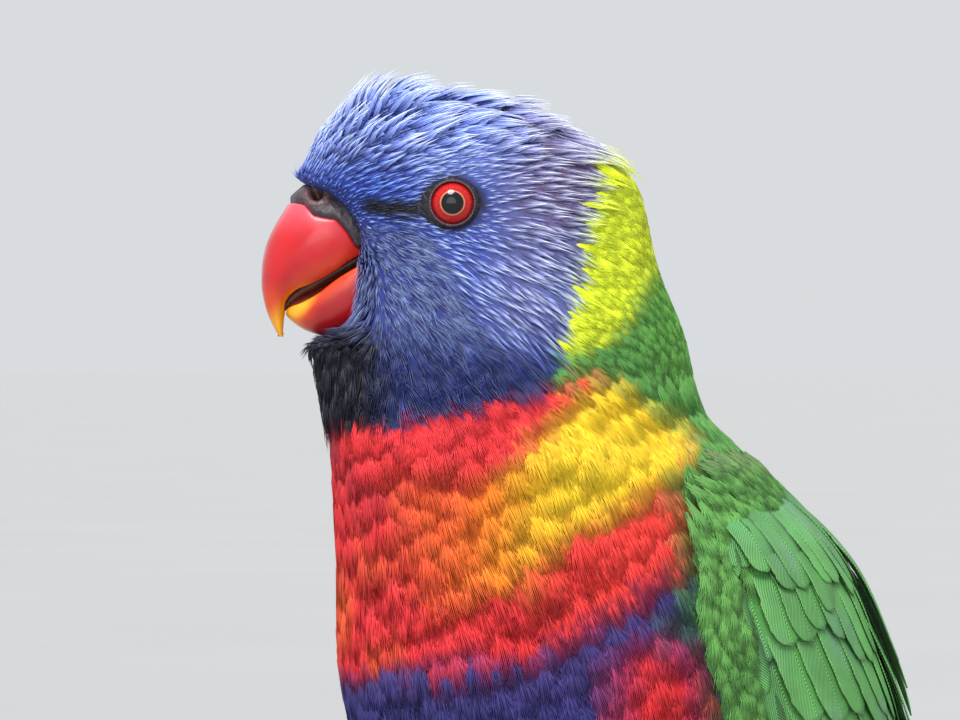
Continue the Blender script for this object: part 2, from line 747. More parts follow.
def spray_template(barbs, aspect, seed, spread=0.45, full=1.9):
    """A loose feather: barbs that leave its foot, spread early or late, and end apart."""
    draw = np.random.default_rng(seed)
    parts, edges = [], []
    for t in np.linspace(-1, 1, barbs):
        end = np.array([0.97 * t, aspect * (1 - 0.2 * t * t + draw.uniform(-0.09, 0.05))])
        middle = np.array([spread * t + draw.uniform(-0.5, 0.5) / barbs, 0.5 * aspect])
        foot = np.array([0.25 * spread * t, 0.03 * aspect])
        rise = np.array([0, 0.06, 0]) - 0.12 * t * t + draw.uniform(-0.02, 0.02)
        points, faces = barb_prism(foot, middle, end, full / barbs, rise, 3)
        parts.append((points / [1, aspect, 1], faces))
        edges.append(draw.uniform(0, 1))
    return gathered(parts, edges)


def height_over(grid):
    """A way to tell how far points stand off a grid's surface along their normals."""
    tree = BVHTree.FromPolygons(grid.reshape(-1, 3).tolist(), grid_faces(*grid.shape[:2]).tolist())

    def stand_off(points, normals):
        nearest = [tree.find_nearest(Vector(p))[0] for p in points.tolist()]
        return ((points - np.array([tuple(p) for p in nearest])) * normals).sum(-1)

    return stand_off


over_skin = height_over(SKIN)


def outline_angle(levels, points):
    """The angle at which an outline passes nearest to points."""
    left, behind, height = unplaced(points)
    front, back, half, _ = np.moveaxis(level_at(levels, height), -1, 0)
    return np.arctan2(left / half, ((front + back) / 2 - behind) / ((back - front) / 2)), height


def bake_place(points):
    """Place on an unwrap of the skin's own shape: round the body and up it."""
    angle, height = outline_angle(BODY_LEVELS, points)
    across = angle / (2 * math.pi) + 0.5
    upward = (height + 160) / 184
    return np.clip(np.stack([across, upward], -1), 0.002, 0.998)


BAKE_PATCH = 0.003


class Feathers:
    """Feathers gathered into one piece, with their colours and maps."""

    def __init__(self):
        self.parts, self.colours, self.bakes, self.barbs = [], [], [], []

    def finish(self, name, slot, material):
        points, faces = joined(self.parts)
        maps = {"OFBake": np.concatenate(self.bakes), "Barbs": np.concatenate(self.barbs)}
        colours = np.clip(np.concatenate(self.colours), 0, 1)
        return add_piece(name, points, faces, material, colours, maps)


def corner_mix(corners, x, share):
    """Colours over a feather from those at its corners: left and right, halfway and at the tip."""
    right = np.clip(0.5 + 0.5 * x, 0, 1)[None, :, None]
    tip = np.clip(share * 2 - 1, 0, 1)[None, :, None]
    a, b, c, d = (corners[:, k, None] for k in range(4))
    return mix(mix(a, b, right), mix(c, d, right), tip)


def feather_colours(plan, x, share, edge):
    """Colours over feathers: dark at the root and the edges, pale along the shaft."""
    main, pale, dark = (corner_mix(plan[key], x, share) for key in ("main", "pale", "dark"))
    rooted = smooth(share[None] / plan["deep"][:, None], 0.2, 1)
    colour = mix(dark, main, rooted[..., None])
    bright = smooth(share, 0.3, 0.75) * (1 - edge) ** 1.3
    colour = mix(colour, pale, bright[None, :, None] * plan["shaft"][:, None, None])
    shade = edge**1.5 * smooth(share, 0.3, 0.8)
    return mix(colour, dark, shade[None, :, None] * plan["edging"][:, None, None])


class Coat(Feathers):
    """Small feathers of a few templates. Each has its own patch in the map OFBake."""

    def add(self, template, plan):
        """Sets one feather of the template for each row of the plan."""
        shape, faces, edge = template
        x, share, rise = shape.T
        half, length, lift = (plan[key][:, None] for key in ("half", "length", "lift"))
        side = unit(np.cross(plan["way"], plan["normal"]))
        z = rise * half + (lift * share - 0.25 * lift * share**3) * length - ROOT_SINK
        z = z - plan["ahead"][:, None] * share**2 - plan["beside"][:, None] * x**2
        points = plan["root"][:, None] + side[:, None] * (x * half)[..., None]
        points = points + plan["way"][:, None] * (share * length)[..., None]
        points = points + plan["normal"][:, None] * z[..., None]
        patch = np.stack([x / 2.4, share - 0.5], -1) * BAKE_PATCH
        barb = np.stack([x * half, share * length - np.abs(x) * half * 1.2], -1)
        shift = np.arange(len(half))[:, None, None] * len(shape)
        self.parts.append((points.reshape(-1, 3), (faces[None] + shift).reshape(-1, 3)))
        self.colours.append(feather_colours(plan, x, share, edge).reshape(-1, 3))
        self.bakes.append((bake_place(plan["root"])[:, None] + patch[None]).reshape(-1, 2))
        self.barbs.append(barb.reshape(-1, 2))


ROOT_SINK = 0.15
THIGH_SPACING = 1.9
SHOULDER_SPACING = 1.42
# Places tried for roots, before they are thinned out
HEAD_TRIES = 52000
BODY_TRIES = 60000
THIGH_TRIES = 4000
SHOULDER_TRIES = 24000
BARE_RING = 3.95  # bare skin round the eye, from its middle line
STREAKS = [streak_template(2, 7, seed) for seed in (1, 2, 3)]
UNDER_STREAKS = [streak_template(1, 5, seed) for seed in (4, 5)]
SPRAYS = [spray_template(7, 4.4, seed, 0.6, 1.1) for seed in (6, 7, 8, 17)]
DOWN = [spray_template(13, 2.6, seed) for seed in (18, 19, 20)]
BREAST = [spray_template(24, 2.6, seed, 0.8, 2.1) for seed in (9, 10, 11, 12)]
COVER = [spray_template(15, 2.4, seed, 0.8, 2.6) for seed in (13, 14, 15)]


def clear_of_face(points):
    """Away from the bill, the cere, the eyes and their bare skin."""
    left, behind, height = unplaced(points)
    forward = -EYE_FORWARD - behind
    bill = (np.abs(left) < 6.0) & (forward > 9.5) & (height < 2.9) & (height > -18.3)
    return ~bill & (from_eyes(points)[0] > BARE_RING)


def clipped_at_eyes(points, ways, length):
    """Lengths cut short where a feather would reach over the bare ring."""
    length = length.copy()
    for _ in range(12):
        across, _ = from_eyes(points + ways * (length * 1.02)[:, None])
        length = np.where(across < BARE_RING - 0.25, length * 0.82, length)
    return length


def make_plan(shape, seed, shade, drop, colour_at=markings):
    """All that is needed to set feathers: where, how large, and how coloured."""
    plan = dict(shape)
    points, normals, ways = plan["root"], plan["normal"], plan["way"]
    draw = np.random.default_rng(seed)
    tone = (1 + draw.normal(size=(len(points), 1, 1)) * shade).clip(0.6, 1.4)
    side = unit(np.cross(ways, normals)) * plan["half"][:, None]
    reach = ways * plan["length"][:, None]
    places = [points + side * x + reach * y for y in (0.5, 0.95) for x in (-0.7, 0.7)]
    found = [colour_at(place, seed=seed) for place in places]
    for number, key in enumerate(("main", "pale", "dark")):
        colours = np.stack([corner[number] for corner in found], 1)
        plan[key] = colours * (tone if key != "dark" else 1)
    plan["ahead"] = drop(points + reach, normals)
    plan["beside"] = (drop(points + side, normals) + drop(points - side, normals)) / 2
    for key in ("shaft", "edging", "deep"):
        plan[key] = np.broadcast_to(plan[key], len(points))
    return plan


def chosen_rows(plan, keep):
    return {key: values[keep] for key, values in plan.items()}


def head_growth(points):
    """From 0 by the bill and the eyes to 1 where the head's feathers are full grown."""
    across, _ = from_eyes(points)
    from_bill = np.linalg.norm(points - in_head(0, 19, -6), axis=-1) - 8
    return smooth(np.minimum(from_bill, (across - 3.4) * 2.4), 0, 15)


def spray_share(points):
    """How loose and spreading the hood's feathers are: wholly so on the cheek and throat."""
    right, up = side_view(points)
    low = 20 * smooth(-up, 20, 24)
    return smooth(low - 6 - 0.6 * (up + 3) - right, -2, 2) * smooth(-up, 2, 4)


def head_roots(over, seed):
    """Where the hood's feathers stand: roots, normals and ways, and how far they are grown."""
    points, normals = surface_samples(SKIN, GRID_NORMAL, HEAD_TRIES, seed, lambda height: height > -37)
    ways = lie(points, normals)
    reach = np.where(unplaced(points)[2] > -14, 3.0, 4.5)[:, None]
    _, _, shares = zone_shares(points + ways * reach)
    points, normals, ways = only(
        clear_of_face(points) & (shares["hood"] > 0.5), points, normals, ways
    )
    height = unplaced(points)[2]
    growth, spray = head_growth(points), spray_share(points)
    spacing = mix(0.66, 1.12, growth) + 0.2 * smooth(height, 7, 13) * growth
    spacing = spacing - 0.08 * spray * growth + 0.55 * smooth(-height, 19, 25)
    kept = thinned(points, spacing * (1.0 if over else 0.8))
    return only(kept, points, normals, ways, growth, spray)


def head_parts(points, spray):
    """How far points belong to each part of the head."""
    _, behind, height = unplaced(points)
    chin = smooth(-height, 15, 18) * smooth(-behind, 16, 22)
    shelf = smooth(height, -21.8, -20.6) * chin
    brow = smooth(height, 3, 7) * smooth(-behind, 11, 19)
    return SimpleNamespace(
        crown=smooth(height, 4, 12),
        throat=smooth(-height, 17, 24),
        rear=smooth(behind, -4, 16) * (1 - spray),
        chin=chin - shelf,
        shelf=shelf,
        brow=brow,
        peak=brow * smooth(height, 12, 17),
        rim=smooth(-behind, 17, 19) * smooth(-height, 5, 8) * smooth(height, -21, -18.5),
    )


def head_ways(points, normals, ways, spray, part, draw):
    """Normals and ways of the hood's feathers: down the chin, and forward on its shelf."""
    level = np.stack([np.ones_like(part.chin)] * 2 + [1 - 0.6 * part.chin], -1)
    normals = unit(normals * level)
    ahead = in_head(0, 1, -20) - in_head(0, 0, -20)
    ways = unit(ways - UP * 2.0 * part.chin[:, None] + ahead * 3.0 * part.shelf[:, None])
    ways = unit(ways - dot(ways, normals) * normals)
    twist = 0.12 * wobble(points, 3.4, 23) + draw.normal(size=len(points)) * mix(0.08, 0.2, spray)
    return normals, unit(ways + np.cross(ways, normals) * twist[:, None])


def head_lengths(height, growth, spray, part):
    grown = 1.8 * part.crown + 2.2 * part.rear - 0.5 * spray
    length = mix(2.0, 5.2, growth) + grown * growth + 2.2 * part.throat + 1.6 * part.brow
    return length * (1 - 0.5 * part.chin * smooth(height, -24, -20) - 0.45 * part.shelf)


def raise_crown(shape, height, growth, spray, part, draw):
    """Draws the hood's feathers together in damp tufts, which stand off on the crown and brow."""
    crown, brow = part.crown, part.brow
    loose = draw.uniform(0, 1, len(height)) ** 1.5
    pull = mix(0.25, 0.8, np.maximum(crown, np.maximum(part.rear, brow))) * growth * (1 - spray)
    raised = np.maximum(crown + 0.35 * (1 - crown) * smooth(height, -2, 5), brow)
    stand = (0.06 + 0.3 * raised) * loose * growth + 0.22 * raised * growth + 0.62 * brow
    stand = stand - 0.75 * part.peak - 0.1 * crown * (1 - brow)
    draw_together(shape, mix(2.0, 3.4, crown), pull, shape["lift"] + stand)


def head_plan(over, seed):
    """The hood's feathers: a close under layer, or the longer pale-shafted ones over it."""
    points, normals, ways, growth, spray = head_roots(over, seed)
    height = unplaced(points)[2]
    part = head_parts(points, spray)
    draw = np.random.default_rng(seed + 1)
    normals, ways = head_ways(points, normals, ways, spray, part, draw)
    length = head_lengths(height, growth, spray, part)
    length = length * draw.uniform(0.8, 1.2, len(points)) * (1.0 if over else 0.8)
    half = mix(0.32, 0.52, growth) + 0.2 * part.crown * growth
    lift = mix(0.24, 0.13, growth) + 0.05 * spray + 0.35 * part.shelf + 0.5 * part.rim
    shape = {
        "root": points,
        "normal": normals,
        "way": ways,
        "length": clipped_at_eyes(points, ways, length + 1.0 * part.rim),
        "half": mix(half, mix(0.42, 0.95, growth) + 0.4 * part.throat, spray) if over else half,
        "lift": lift + draw.normal(size=len(points)) * 0.03 - (0.0 if over else 0.06),
        "shaft": mix(0.95, 0.6, part.throat) + 0.4 * spray * (1 - part.throat) if over else 0.3,
        "edging": 0.85 - 0.5 * part.crown,
        "deep": mix(0.65, 1.0, spray) - 0.15 * part.crown,
    }
    if over:
        raise_crown(shape, height, growth, spray, part, draw)
    plan = make_plan(shape, seed, 0.13, over_skin)
    if not over:
        tone = mix(0.85 + 0.25 * part.crown, 0.6, spray)[:, None, None]
        plan["main"], plan["pale"] = plan["main"] * tone, plan["pale"] * tone
    return plan


def draw_together(shape, spacing, pull, lift):
    """Turns feathers so that they meet at shared tips, as damp plumage does."""
    roots, ways, normals = shape["root"], shape["way"], shape["normal"]
    leads = thinned(roots, spacing)
    tree = KDTree(len(leads))
    for number, place in enumerate(roots[leads].tolist()):
        tree.insert(place, number)
    tree.balance()
    lead = leads[[tree.find(place)[1] for place in roots.tolist()]]
    reach = ways * shape["length"][:, None]
    new = mix(reach, roots[lead] + reach[lead] * 1.05 - roots, pull[:, None])
    new = new - dot(new, normals) * normals
    shape["length"] = np.linalg.norm(new, axis=1)
    shape["way"] = unit(new)
    shape["lift"] = mix(shape["lift"], lift[lead], 1.2 * pull)


def body_roots():
    """Where the body's feathers stand: their roots, normals and ways, and heights from the eye."""
    points, normals = surface_samples(SKIN, GRID_NORMAL, BODY_TRIES, 41, lambda height: height > -150)
    ways = lie(points, normals)
    height = unplaced(points)[2]
    reach = mix(3.0, 8.0, smooth(-height, 30, 60))[:, None]
    _, _, shares = zone_shares(points + ways * reach)
    keep = clear_of_face(points) & (shares["hood"] < 0.5)
    points, normals, ways, height = only(keep, points, normals, ways, height)
    full = smooth(-height, 18, 52)
    hidden = np.maximum(smooth(unplaced(points)[1], 36, 46), smooth(-height, 84, 92))
    spacing = mix(1.2, 2.3, full) + 0.8 * full * hidden - 0.5 * smooth(-height, 100, 130)
    return only(thinned(points, spacing), points, normals, ways, height)


def body_plan():
    """Feathers of the neck, breast, belly, back and vent."""
    points, normals, ways, height = body_roots()
    count = len(points)
    draw = np.random.default_rng(42)
    twist = draw.normal(size=count) * 0.05 + 0.10 * wobble(points, 14, 43)
    ways = unit(ways + np.cross(ways, normals) * twist[:, None])
    size = smooth(-height, 10, 52)
    length = banded(points, ways, mix(5.5, 10.5, size) * draw.uniform(0.9, 1.1, count))
    shape = {
        "root": points,
        "normal": normals,
        "way": ways,
        "length": length,
        "half": mix(1.4, 3.7, size) * draw.uniform(0.9, 1.1, count),
        "lift": mix(0.09, 0.08, size) + draw.normal(size=count) * 0.008,
        "shaft": 0.12,
        "edging": 0.06,
        "deep": 0.95,
    }
    return make_plan(shape, 44, 0.035, over_skin, unhooded)


BAND = 4.6  # from one row of feather ends on the breast to the next
MOST_TRIANGLES = 190000  # in one piece of a coat


def banded(points, ways, length):
    """Lengths changed so that the breast's feathers end in wavy rows across it."""
    tips = points + ways * length[:, None]
    reach = np.linalg.norm(tips - LORES_PLACE, axis=-1) / BAND + 0.45 * wobble(tips, 17, 45)
    _, behind, height = unplaced(tips)
    share = smooth(-height, 26, 32) * smooth(height, -88, -76) * smooth(34 - behind, 0, 8)
    change = (np.round(reach) - reach) * BAND
    return np.clip(length + 0.8 * share * change, 5.5, 18)


def lay_coat(name, slot, material, kinds):
    """Builds a coat's pieces from plans and their templates, each below the most triangles."""
    made = []
    for templates, plan in kinds:
        which = np.random.default_rng(len(made)).integers(0, len(templates), len(plan["root"]))
        for number, template in enumerate(templates):
            made.append((template, chosen_rows(plan, which == number)))
    heights = np.concatenate([plan["root"][:, 2] for _, plan in made])
    weights = np.concatenate([np.full(len(p["root"]), len(t[1])) for t, p in made])
    order = np.argsort(-heights)
    totals = np.cumsum(weights[order])
    parts = int(totals[-1] // MOST_TRIANGLES) + 1
    cuts = np.interp(np.arange(1, parts) * totals[-1] / parts, totals, heights[order])
    limits = [np.inf, *cuts, -np.inf]
    for part, (top, bottom) in enumerate(zip(limits, limits[1:])):
        coat = Coat()
        for template, plan in made:
            height = plan["root"][:, 2]
            coat.add(template, chosen_rows(plan, (height < top) & (height >= bottom)))
        coat.finish(f"{name}_{part + 1}", slot, material)


def make_head_coat():
    over, under = head_plan(True, 21), head_plan(False, 25)
    spray = spray_share(over["root"])
    loose = spray + np.random.default_rng(27).normal(size=len(spray)) * 0.1 > 0.5
    kinds = [
        (STREAKS, chosen_rows(over, ~loose)),
        (SPRAYS, chosen_rows(over, loose)),
        (UNDER_STREAKS, under),
    ]
    lay_coat("head_coat", "head_plumage", plumage("head_feathers", 0.45, 0.08), kinds)


def make_body_coat():
    plan = body_plan()
    _, behind, height = unplaced(plan["root"])
    broad = plan["half"] > 2.4
    breast = broad & (height > -84) & (behind < 40)
    kinds = [
        (BREAST, chosen_rows(plan, breast)),
        (COVER, chosen_rows(plan, broad & ~breast)),
        (DOWN, chosen_rows(plan, ~broad)),
    ]
    lay_coat("body_coat", "body_plumage", barbed("body_feathers", 0.6, 0.3, 0.14, "X"), kinds)


def make_skin():
    points = np.concatenate([SKIN.reshape(-1, 3), SKIN[-1:].mean(1)])
    rows, columns = SKIN.shape[:2]
    walls = grid_faces(rows, columns)[:, [[0, 2, 1], [0, 3, 2]]].reshape(-1, 3)
    base = (rows - 1) * columns
    end = [[base + (j + 1) % columns, base + j, len(points) - 1] for j in range(columns)]
    main, _, dark = markings(points, ragged=0)
    material = textured("skin", 0.85, (400, 4), (0.7, 1.1), (0.0002, 0.6), (700, 4))
    faces = np.concatenate([walls, np.array(end)])
    piece = add_piece("skin", points, faces, material, mix(dark, main, 0.3))
    merge(piece)
    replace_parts(piece, "head", "neck", "torso")
    return material


THIGH_TOP = np.array([13, 4, -95.0])
THIGH_END = np.array([14, 1.5, -119.5])
THIGH_RADII = [10, 9.6, 8.6, 6.4, 3.4]
THIGH_DOWN = 1.1  # depth of its feathers


def thigh_colours(points, seed):
    """Blue of the thigh, greener lower down."""
    height = unplaced(points)[2]
    main = blended(BELLY_BLUE, smooth(-height, 106, 120) * 0.7, GREEN)
    main = main * (1 + 0.12 * wobble(points, 4, seed))[:, None]
    return main, main * 1.3, main * ROOT_TONE


def thigh_plan(grid, normals):
    """Down over a thigh, hanging straight."""
    points, normals = surface_samples(grid, normals, THIGH_TRIES, 52, lambda height: height > -118)
    points, normals = only(thinned(points, np.full(len(points), THIGH_SPACING)), points, normals)
    count = len(points)
    draw = np.random.default_rng(53)
    way = -UP + draw.normal(size=(count, 3)) * 0.12 - dot(-UP, normals) * normals
    grown = mix(0.6, 1, smooth(-unplaced(points)[2], 118, 108))
    shape = {
        "root": points,
        "normal": normals,
        "way": unit(way - dot(way, normals) * normals),
        "length": draw.uniform(4, 6, count) * grown,
        "half": draw.uniform(1.2, 1.6, count),
        "lift": draw.uniform(0.06, 0.16, count),
        "shaft": 0.2,
        "edging": 0.1,
        "deep": 0.9,
    }
    return make_plan(shape, 54, 0.1, height_over(grid), thigh_colours)


def make_thigh(side, name, skin_material):
    shares = np.linspace(0, 1, 26)[:, None]
    path = (mix(THIGH_TOP, THIGH_END, shares) + UP * EYE_HEIGHT) * [side, 1, 1]
    radii = through(THIGH_RADII, 26)[:, None] * np.ones(48)
    grid = along_path(path, radii - THIGH_DOWN, 48)
    points, faces = tube_mesh(grid)
    colours = thigh_colours(points, 51)[0]
    skin = add_piece(f"{name}_skin", points, faces, skin_material, colours)
    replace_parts(merge(skin), name)
    plan = thigh_plan(grid, unit(grid - path[:, None]))
    material = plumage(f"{name}_feathers", 0.6)
    lay_coat(f"{name}_coat", "thigh_plumage", material, [(DOWN, plan)])


# Bill. Rows: forward and up of the ridge, forward and up of the cutting edge, half width, from the
# middle between the eyes
UPPER_BILL = np.array([
    [17.0, 4.2, 9.2, -6.6, 5.4],
    [21.0, 3.4, 12.6, -6.9, 6.0],
    [24.0, 1.4, 15.4, -8.1, 6.5],
    [25.9, -1.2, 17.6, -9.6, 6.5],
    [27.5, -4.0, 19.9, -11.0, 6.0],
    [28.6, -7.0, 22.0, -12.0, 5.2],
    [29.0, -10.2, 23.8, -12.8, 4.2],
    [28.9, -13.0, 25.1, -14.4, 3.0],
    [28.2, -16.0, 25.5, -16.6, 1.9],
    [27.1, -18.5, 25.7, -18.7, 1.1],
    [26.3, -19.8, 25.7, -19.8, 0.45],
])
LOWER_BILL = np.array([
    [9.0, -7.4, 9.4, -19.0, 5.2],
    [12.6, -8.8, 13.0, -19.6, 5.5],
    [14.9, -9.9, 16.4, -19.8, 5.6],
    [17.6, -11.5, 18.9, -19.8, 5.2],
    [20.2, -13.4, 21.4, -19.2, 4.6],
    [22.6, -14.7, 23.3, -18.3, 3.6],
    [24.4, -15.3, 24.7, -17.2, 2.3],
    [25.2, -15.7, 25.3, -16.5, 1.2],
])
# Half sections, from the ridge to the edge and into the mouth: shares of the half width and of the
# way from the ridge to the edge
UPPER_SECTION = [
    [0, 0], [0.45, 0.07], [0.8, 0.25], [1, 0.5], [0.98, 0.78], [0.8, 1], [0.62, 0.96], [0, 0.82],
]
HOOK_SECTION = [
    [0, 0], [0.45, 0.07], [0.8, 0.25], [1, 0.5], [0.92, 0.74], [0.68, 0.9], [0.36, 0.98], [0, 1],
]
LOWER_SECTION = [
    [0, 1], [0.5, 0.94], [0.85, 0.7], [1, 0.35], [0.98, 0], [0.78, 0.02], [0.55, 0.42], [0, 0.56],
]
# Where the horn ends against the cere: how far up, at places forward
CERE_EDGE = (
    [14.4, 15.8, 17.6, 19.5, 21, 22.4, 24.1, 26.2],
    [-6.8, -4.4, -2.4, -2.1, -1.7, 0, 0.3, 0.4],
)
UPPER_EDGE = ([9, 15, 20, 24, 26], [-6.6, -8.2, -11, -13, -16])
LOWER_EDGE = ([9, 13, 16, 19, 22, 25], [-7.4, -8.9, -10.8, -12.6, -14.6, -15.6])
NOSTRIL = np.array([20.4, 1.4])

HORN_RED = paint(200, 16, 26)
HORN_PINK = paint(238, 92, 108)
HORN_ORANGE = paint(232, 72, 14)
HORN_YELLOW = paint(250, 176, 30)
CERE_DARK = paint(58, 46, 54)
CERE_WARM = paint(112, 76, 72)
MOUTH_DARK = paint(70, 22, 14)
TONGUE_TIP = paint(128, 48, 26)
PALATE_TIP = paint(96, 34, 18)


def bill_grid(rows, section, end_section, count, around):
    """A bill half's rings, and how far forward and up each point is in the head."""
    rows = through(rows, count)
    share = smooth(np.linspace(0, 1, count), 0.6, 0.8)[:, None, None]
    half = mix(through(section, around)[None], through(end_section, around)[None], share)
    loop = np.concatenate([half, half[:, -2:0:-1] * [-1, 1]], 1)
    across, along = loop[..., 0], loop[..., 1, None]
    place = mix(rows[:, None, 0:2], rows[:, None, 2:4], along)
    left = across * rows[:, None, 4]
    return in_head(left, place[..., 0], place[..., 1]), place, left


def grid_out(rings):
    """Outward directions over rings of points."""
    along = np.gradient(rings, axis=0)
    around = np.roll(rings, -1, 1) - np.roll(rings, 1, 1)
    out = unit(np.cross(along, around))
    middle = rings.mean(1, keepdims=True)
    return out * np.sign(dot(out, rings - middle).sum())


def horn_material():
    shader = Shader("horn", 0.3, Coat_Weight=0.35, Coat_Roughness=0.18)
    shader.body.inputs["Subsurface Weight"].default_value = 0.12
    shader.body.inputs["Subsurface Scale"].default_value = 0.001
    streaks = shader.noise(180, 5, (1, 1, 0.35))
    shader.bump(streaks, 0.00025, 0.35)
    shader.join(shader.spread(shader.noise(420, 4), 0.22, 0.42), shader.body.inputs["Roughness"])
    return shader.tinted(streaks, 0.93, 1.05)


def upper_colours(forward, up, points):
    """Red horn, pinker on the ridge, orange along its edge and yellow at the tip."""
    top = smooth(up, -5.5, 1.5) * smooth(forward, 12, 20)
    colour = blended(HORN_RED, top * 0.9, HORN_PINK)
    low = 1 - smooth(up - lookup(UPPER_EDGE, forward), 0.3, 3.6)
    colour = blended(colour, low * smooth(forward, 10, 19) * 0.8, HORN_ORANGE)
    colour = blended(colour, smooth(-up, 10.5, 15.5) * smooth(forward, 20, 26), HORN_ORANGE)
    tip = smooth(-up + (26.2 - forward) * 0.9, 13.2, 18)
    colour = blended(colour, tip * smooth(-up, 11, 13), HORN_YELLOW)
    return colour * (1 + 0.06 * wobble(points, 3, 61))[:, None]


def lower_colours(forward, up, points):
    """Darker red horn, orange along its rim and yellow at the tip."""
    rim = 1 - smooth(lookup(LOWER_EDGE, forward) - up, 0.2, 2.6)
    share = np.maximum(rim * 0.75, smooth(forward, 19.5, 24))
    colour = blended(HORN_RED * 0.72, share, HORN_ORANGE)
    colour = blended(colour, smooth(forward + rim * 2.5, 22, 25.5), HORN_YELLOW)
    return colour * (1 + 0.06 * wobble(points, 3, 62))[:, None]


def add_horn(name, rings, place, colour_at, material):
    points, faces = tube_mesh(rings)
    forward, up = with_ends(place).reshape(-1, 2).T
    return merge(add_piece(name, points, faces, material, colour_at(forward, up, points)))


def make_bill():
    material = horn_material()
    rings, place, left = bill_grid(UPPER_BILL, UPPER_SECTION, HOOK_SECTION, 150, 60)
    out = grid_out(rings)
    above = place[..., 1] - lookup(CERE_EDGE, place[..., 0])
    pit = np.exp(-((from_nostril(place, left) / 1.4) ** 2))
    horn = rings - out * (0.7 * smooth(above, -0.1, 0.8) + 2.2 * pit)[..., None]
    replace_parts(add_horn("upper_horn", horn, place, upper_colours, material), "upper_bill")
    make_cere(rings, out, place, left, above)
    rings, place, _ = bill_grid(LOWER_BILL, LOWER_SECTION, LOWER_SECTION, 100, 50)
    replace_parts(add_horn("lower_horn", rings, place, lower_colours, material), "lower_bill")


def from_nostril(place, left):
    return np.hypot(*np.moveaxis(place - NOSTRIL, -1, 0)) + 9 * (np.abs(left) < 1.5)


def make_cere(rings, out, place, left, above):
    """The fleshy root of the upper bill, swollen round a nostril on each side."""
    away = from_nostril(place, left)
    swell = mix(-0.8, 0.5, smooth(above, -0.5, 0.9))
    swell = swell + 0.4 * np.exp(-((away - 1.55) / 0.6) ** 2)
    swell = swell - 1.5 * np.exp(-((away / 0.85) ** 4))
    lumps = wobble(rings.reshape(-1, 3), 0.9, 63).reshape(above.shape)
    swell = swell + 0.09 * lumps * smooth(above, -0.5, 0.5)
    points, faces = tube_mesh(rings + out * swell[..., None])
    near = with_ends(away).ravel()
    colour = blended(CERE_DARK, smooth(3.2 - near, 0, 2) * 0.5, CERE_WARM)
    colour = blended(colour, smooth(1.05 - near, 0, 0.4), MOUTH_DARK * 0.7)
    coat = {"Coat_Weight": 0.2, "Coat_Roughness": 0.3}
    material = textured("cere_skin", 0.42, (1500, 6), (0.6, 1.35), (0.0003, 0.9), **coat)
    piece = add_piece("cere_skin", points, faces, material, colour)
    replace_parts(merge(piece), "cere")


# Inside of the mouth, from its root forward: how far forward, top, bottom, half width
TONGUE = [
    [8, -7.4, -10.4, 3.2],
    [12, -8.4, -11.4, 3.8],
    [15.5, -9.6, -12.6, 3.9],
    [18.5, -11.3, -14.2, 3.4],
    [21.5, -12.9, -15.4, 2.8],
    [23.6, -13.8, -16, 1.9],
    [25.1, -14.5, -16.2, 0.9],
]
PALATE = [
    [8, -4.4, -8.6, 2.6],
    [13, -5.4, -9.6, 3.2],
    [17, -7.2, -11.6, 3.2],
    [20.5, -9.4, -13.2, 2.6],
    [22.8, -10.8, -14.2, 1.9],
    [24.6, -12.2, -15.4, 1.3],
    [25.6, -13.8, -16, 0.8],
]


def add_flesh(name, rows, tip, material):
    """A fleshy body in the head's middle plane."""
    forward, top, bottom, half = through(rows, 48).T[..., None]
    angle = turns(32)[None]
    up = (top + bottom) / 2 + (top - bottom) / 2 * np.cos(angle)
    forward = np.broadcast_to(forward, up.shape)
    points, faces = tube_mesh(in_head(half * np.sin(angle), forward, up))
    colour = blended(MOUTH_DARK, smooth(with_ends(forward).ravel(), 14, 24), tip)
    lumps = unit(points - points.mean(0)) * 0.06 * wobble(points, 1.2, 64)[:, None]
    return merge(add_piece(name, points + lumps, faces, material, colour))


def make_mouth():
    coat = {"Coat_Weight": 0.4, "Coat_Roughness": 0.2}
    material = textured("mouth_skin", 0.4, (500, 4), (0.7, 1.2), (0.0002, 0.8), (1800, 4), **coat)
    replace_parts(add_flesh("tongue_skin", TONGUE, TONGUE_TIP, material), "tongue")
    add_flesh("palate_skin", PALATE, PALATE_TIP, material)


# Eyes. Distances from the eye's middle line
PUPIL = 1.6
PALE_RING = 1.86
IRIS = 3.15
LID_RIM = 3.34
LID_OUTER = 5.2
EYE_BULGE = 0.35  # of the clear front past the ball
IRIS_RED = paint(190, 22, 20)
IRIS_SHADE = paint(150, 20, 18)
IRIS_RIM = paint(96, 14, 16)
IRIS_PALE = paint(206, 128, 92)
PUPIL_BLACK = paint(6, 8, 16)
EYEBALL_DARK = paint(24, 16, 18)
LID_DARK = paint(26, 24, 32)
LID_BEAD = paint(150, 98, 98)
LID_SPOT = paint(84, 84, 100)


def eye_axes(side):
    """Outwards, forward and up at an eye."""
    out = (in_head(1, 0, 0) - in_head(0, 0, 0)) * side
    forward = in_head(0, 1, 0) - in_head(0, 0, 0)
    return out, forward, UP


def round_sheet(side, radii, heights, angle, stretch=1):
    """Rings about an eye's middle line at radii and at heights out from the eyeball's middle."""
    out, forward, up = eye_axes(side)
    ring = forward * np.cos(angle)[:, None] + up * np.sin(angle)[:, None]
    grow = 1 + (stretch - np.ones_like(angle)) * smooth(radii, 3.3, LID_OUTER)[:, None]
    reach = (radii[:, None] * grow)[..., None] * ring[None]
    return EYES[side] + reach + out * heights[:, None, None]


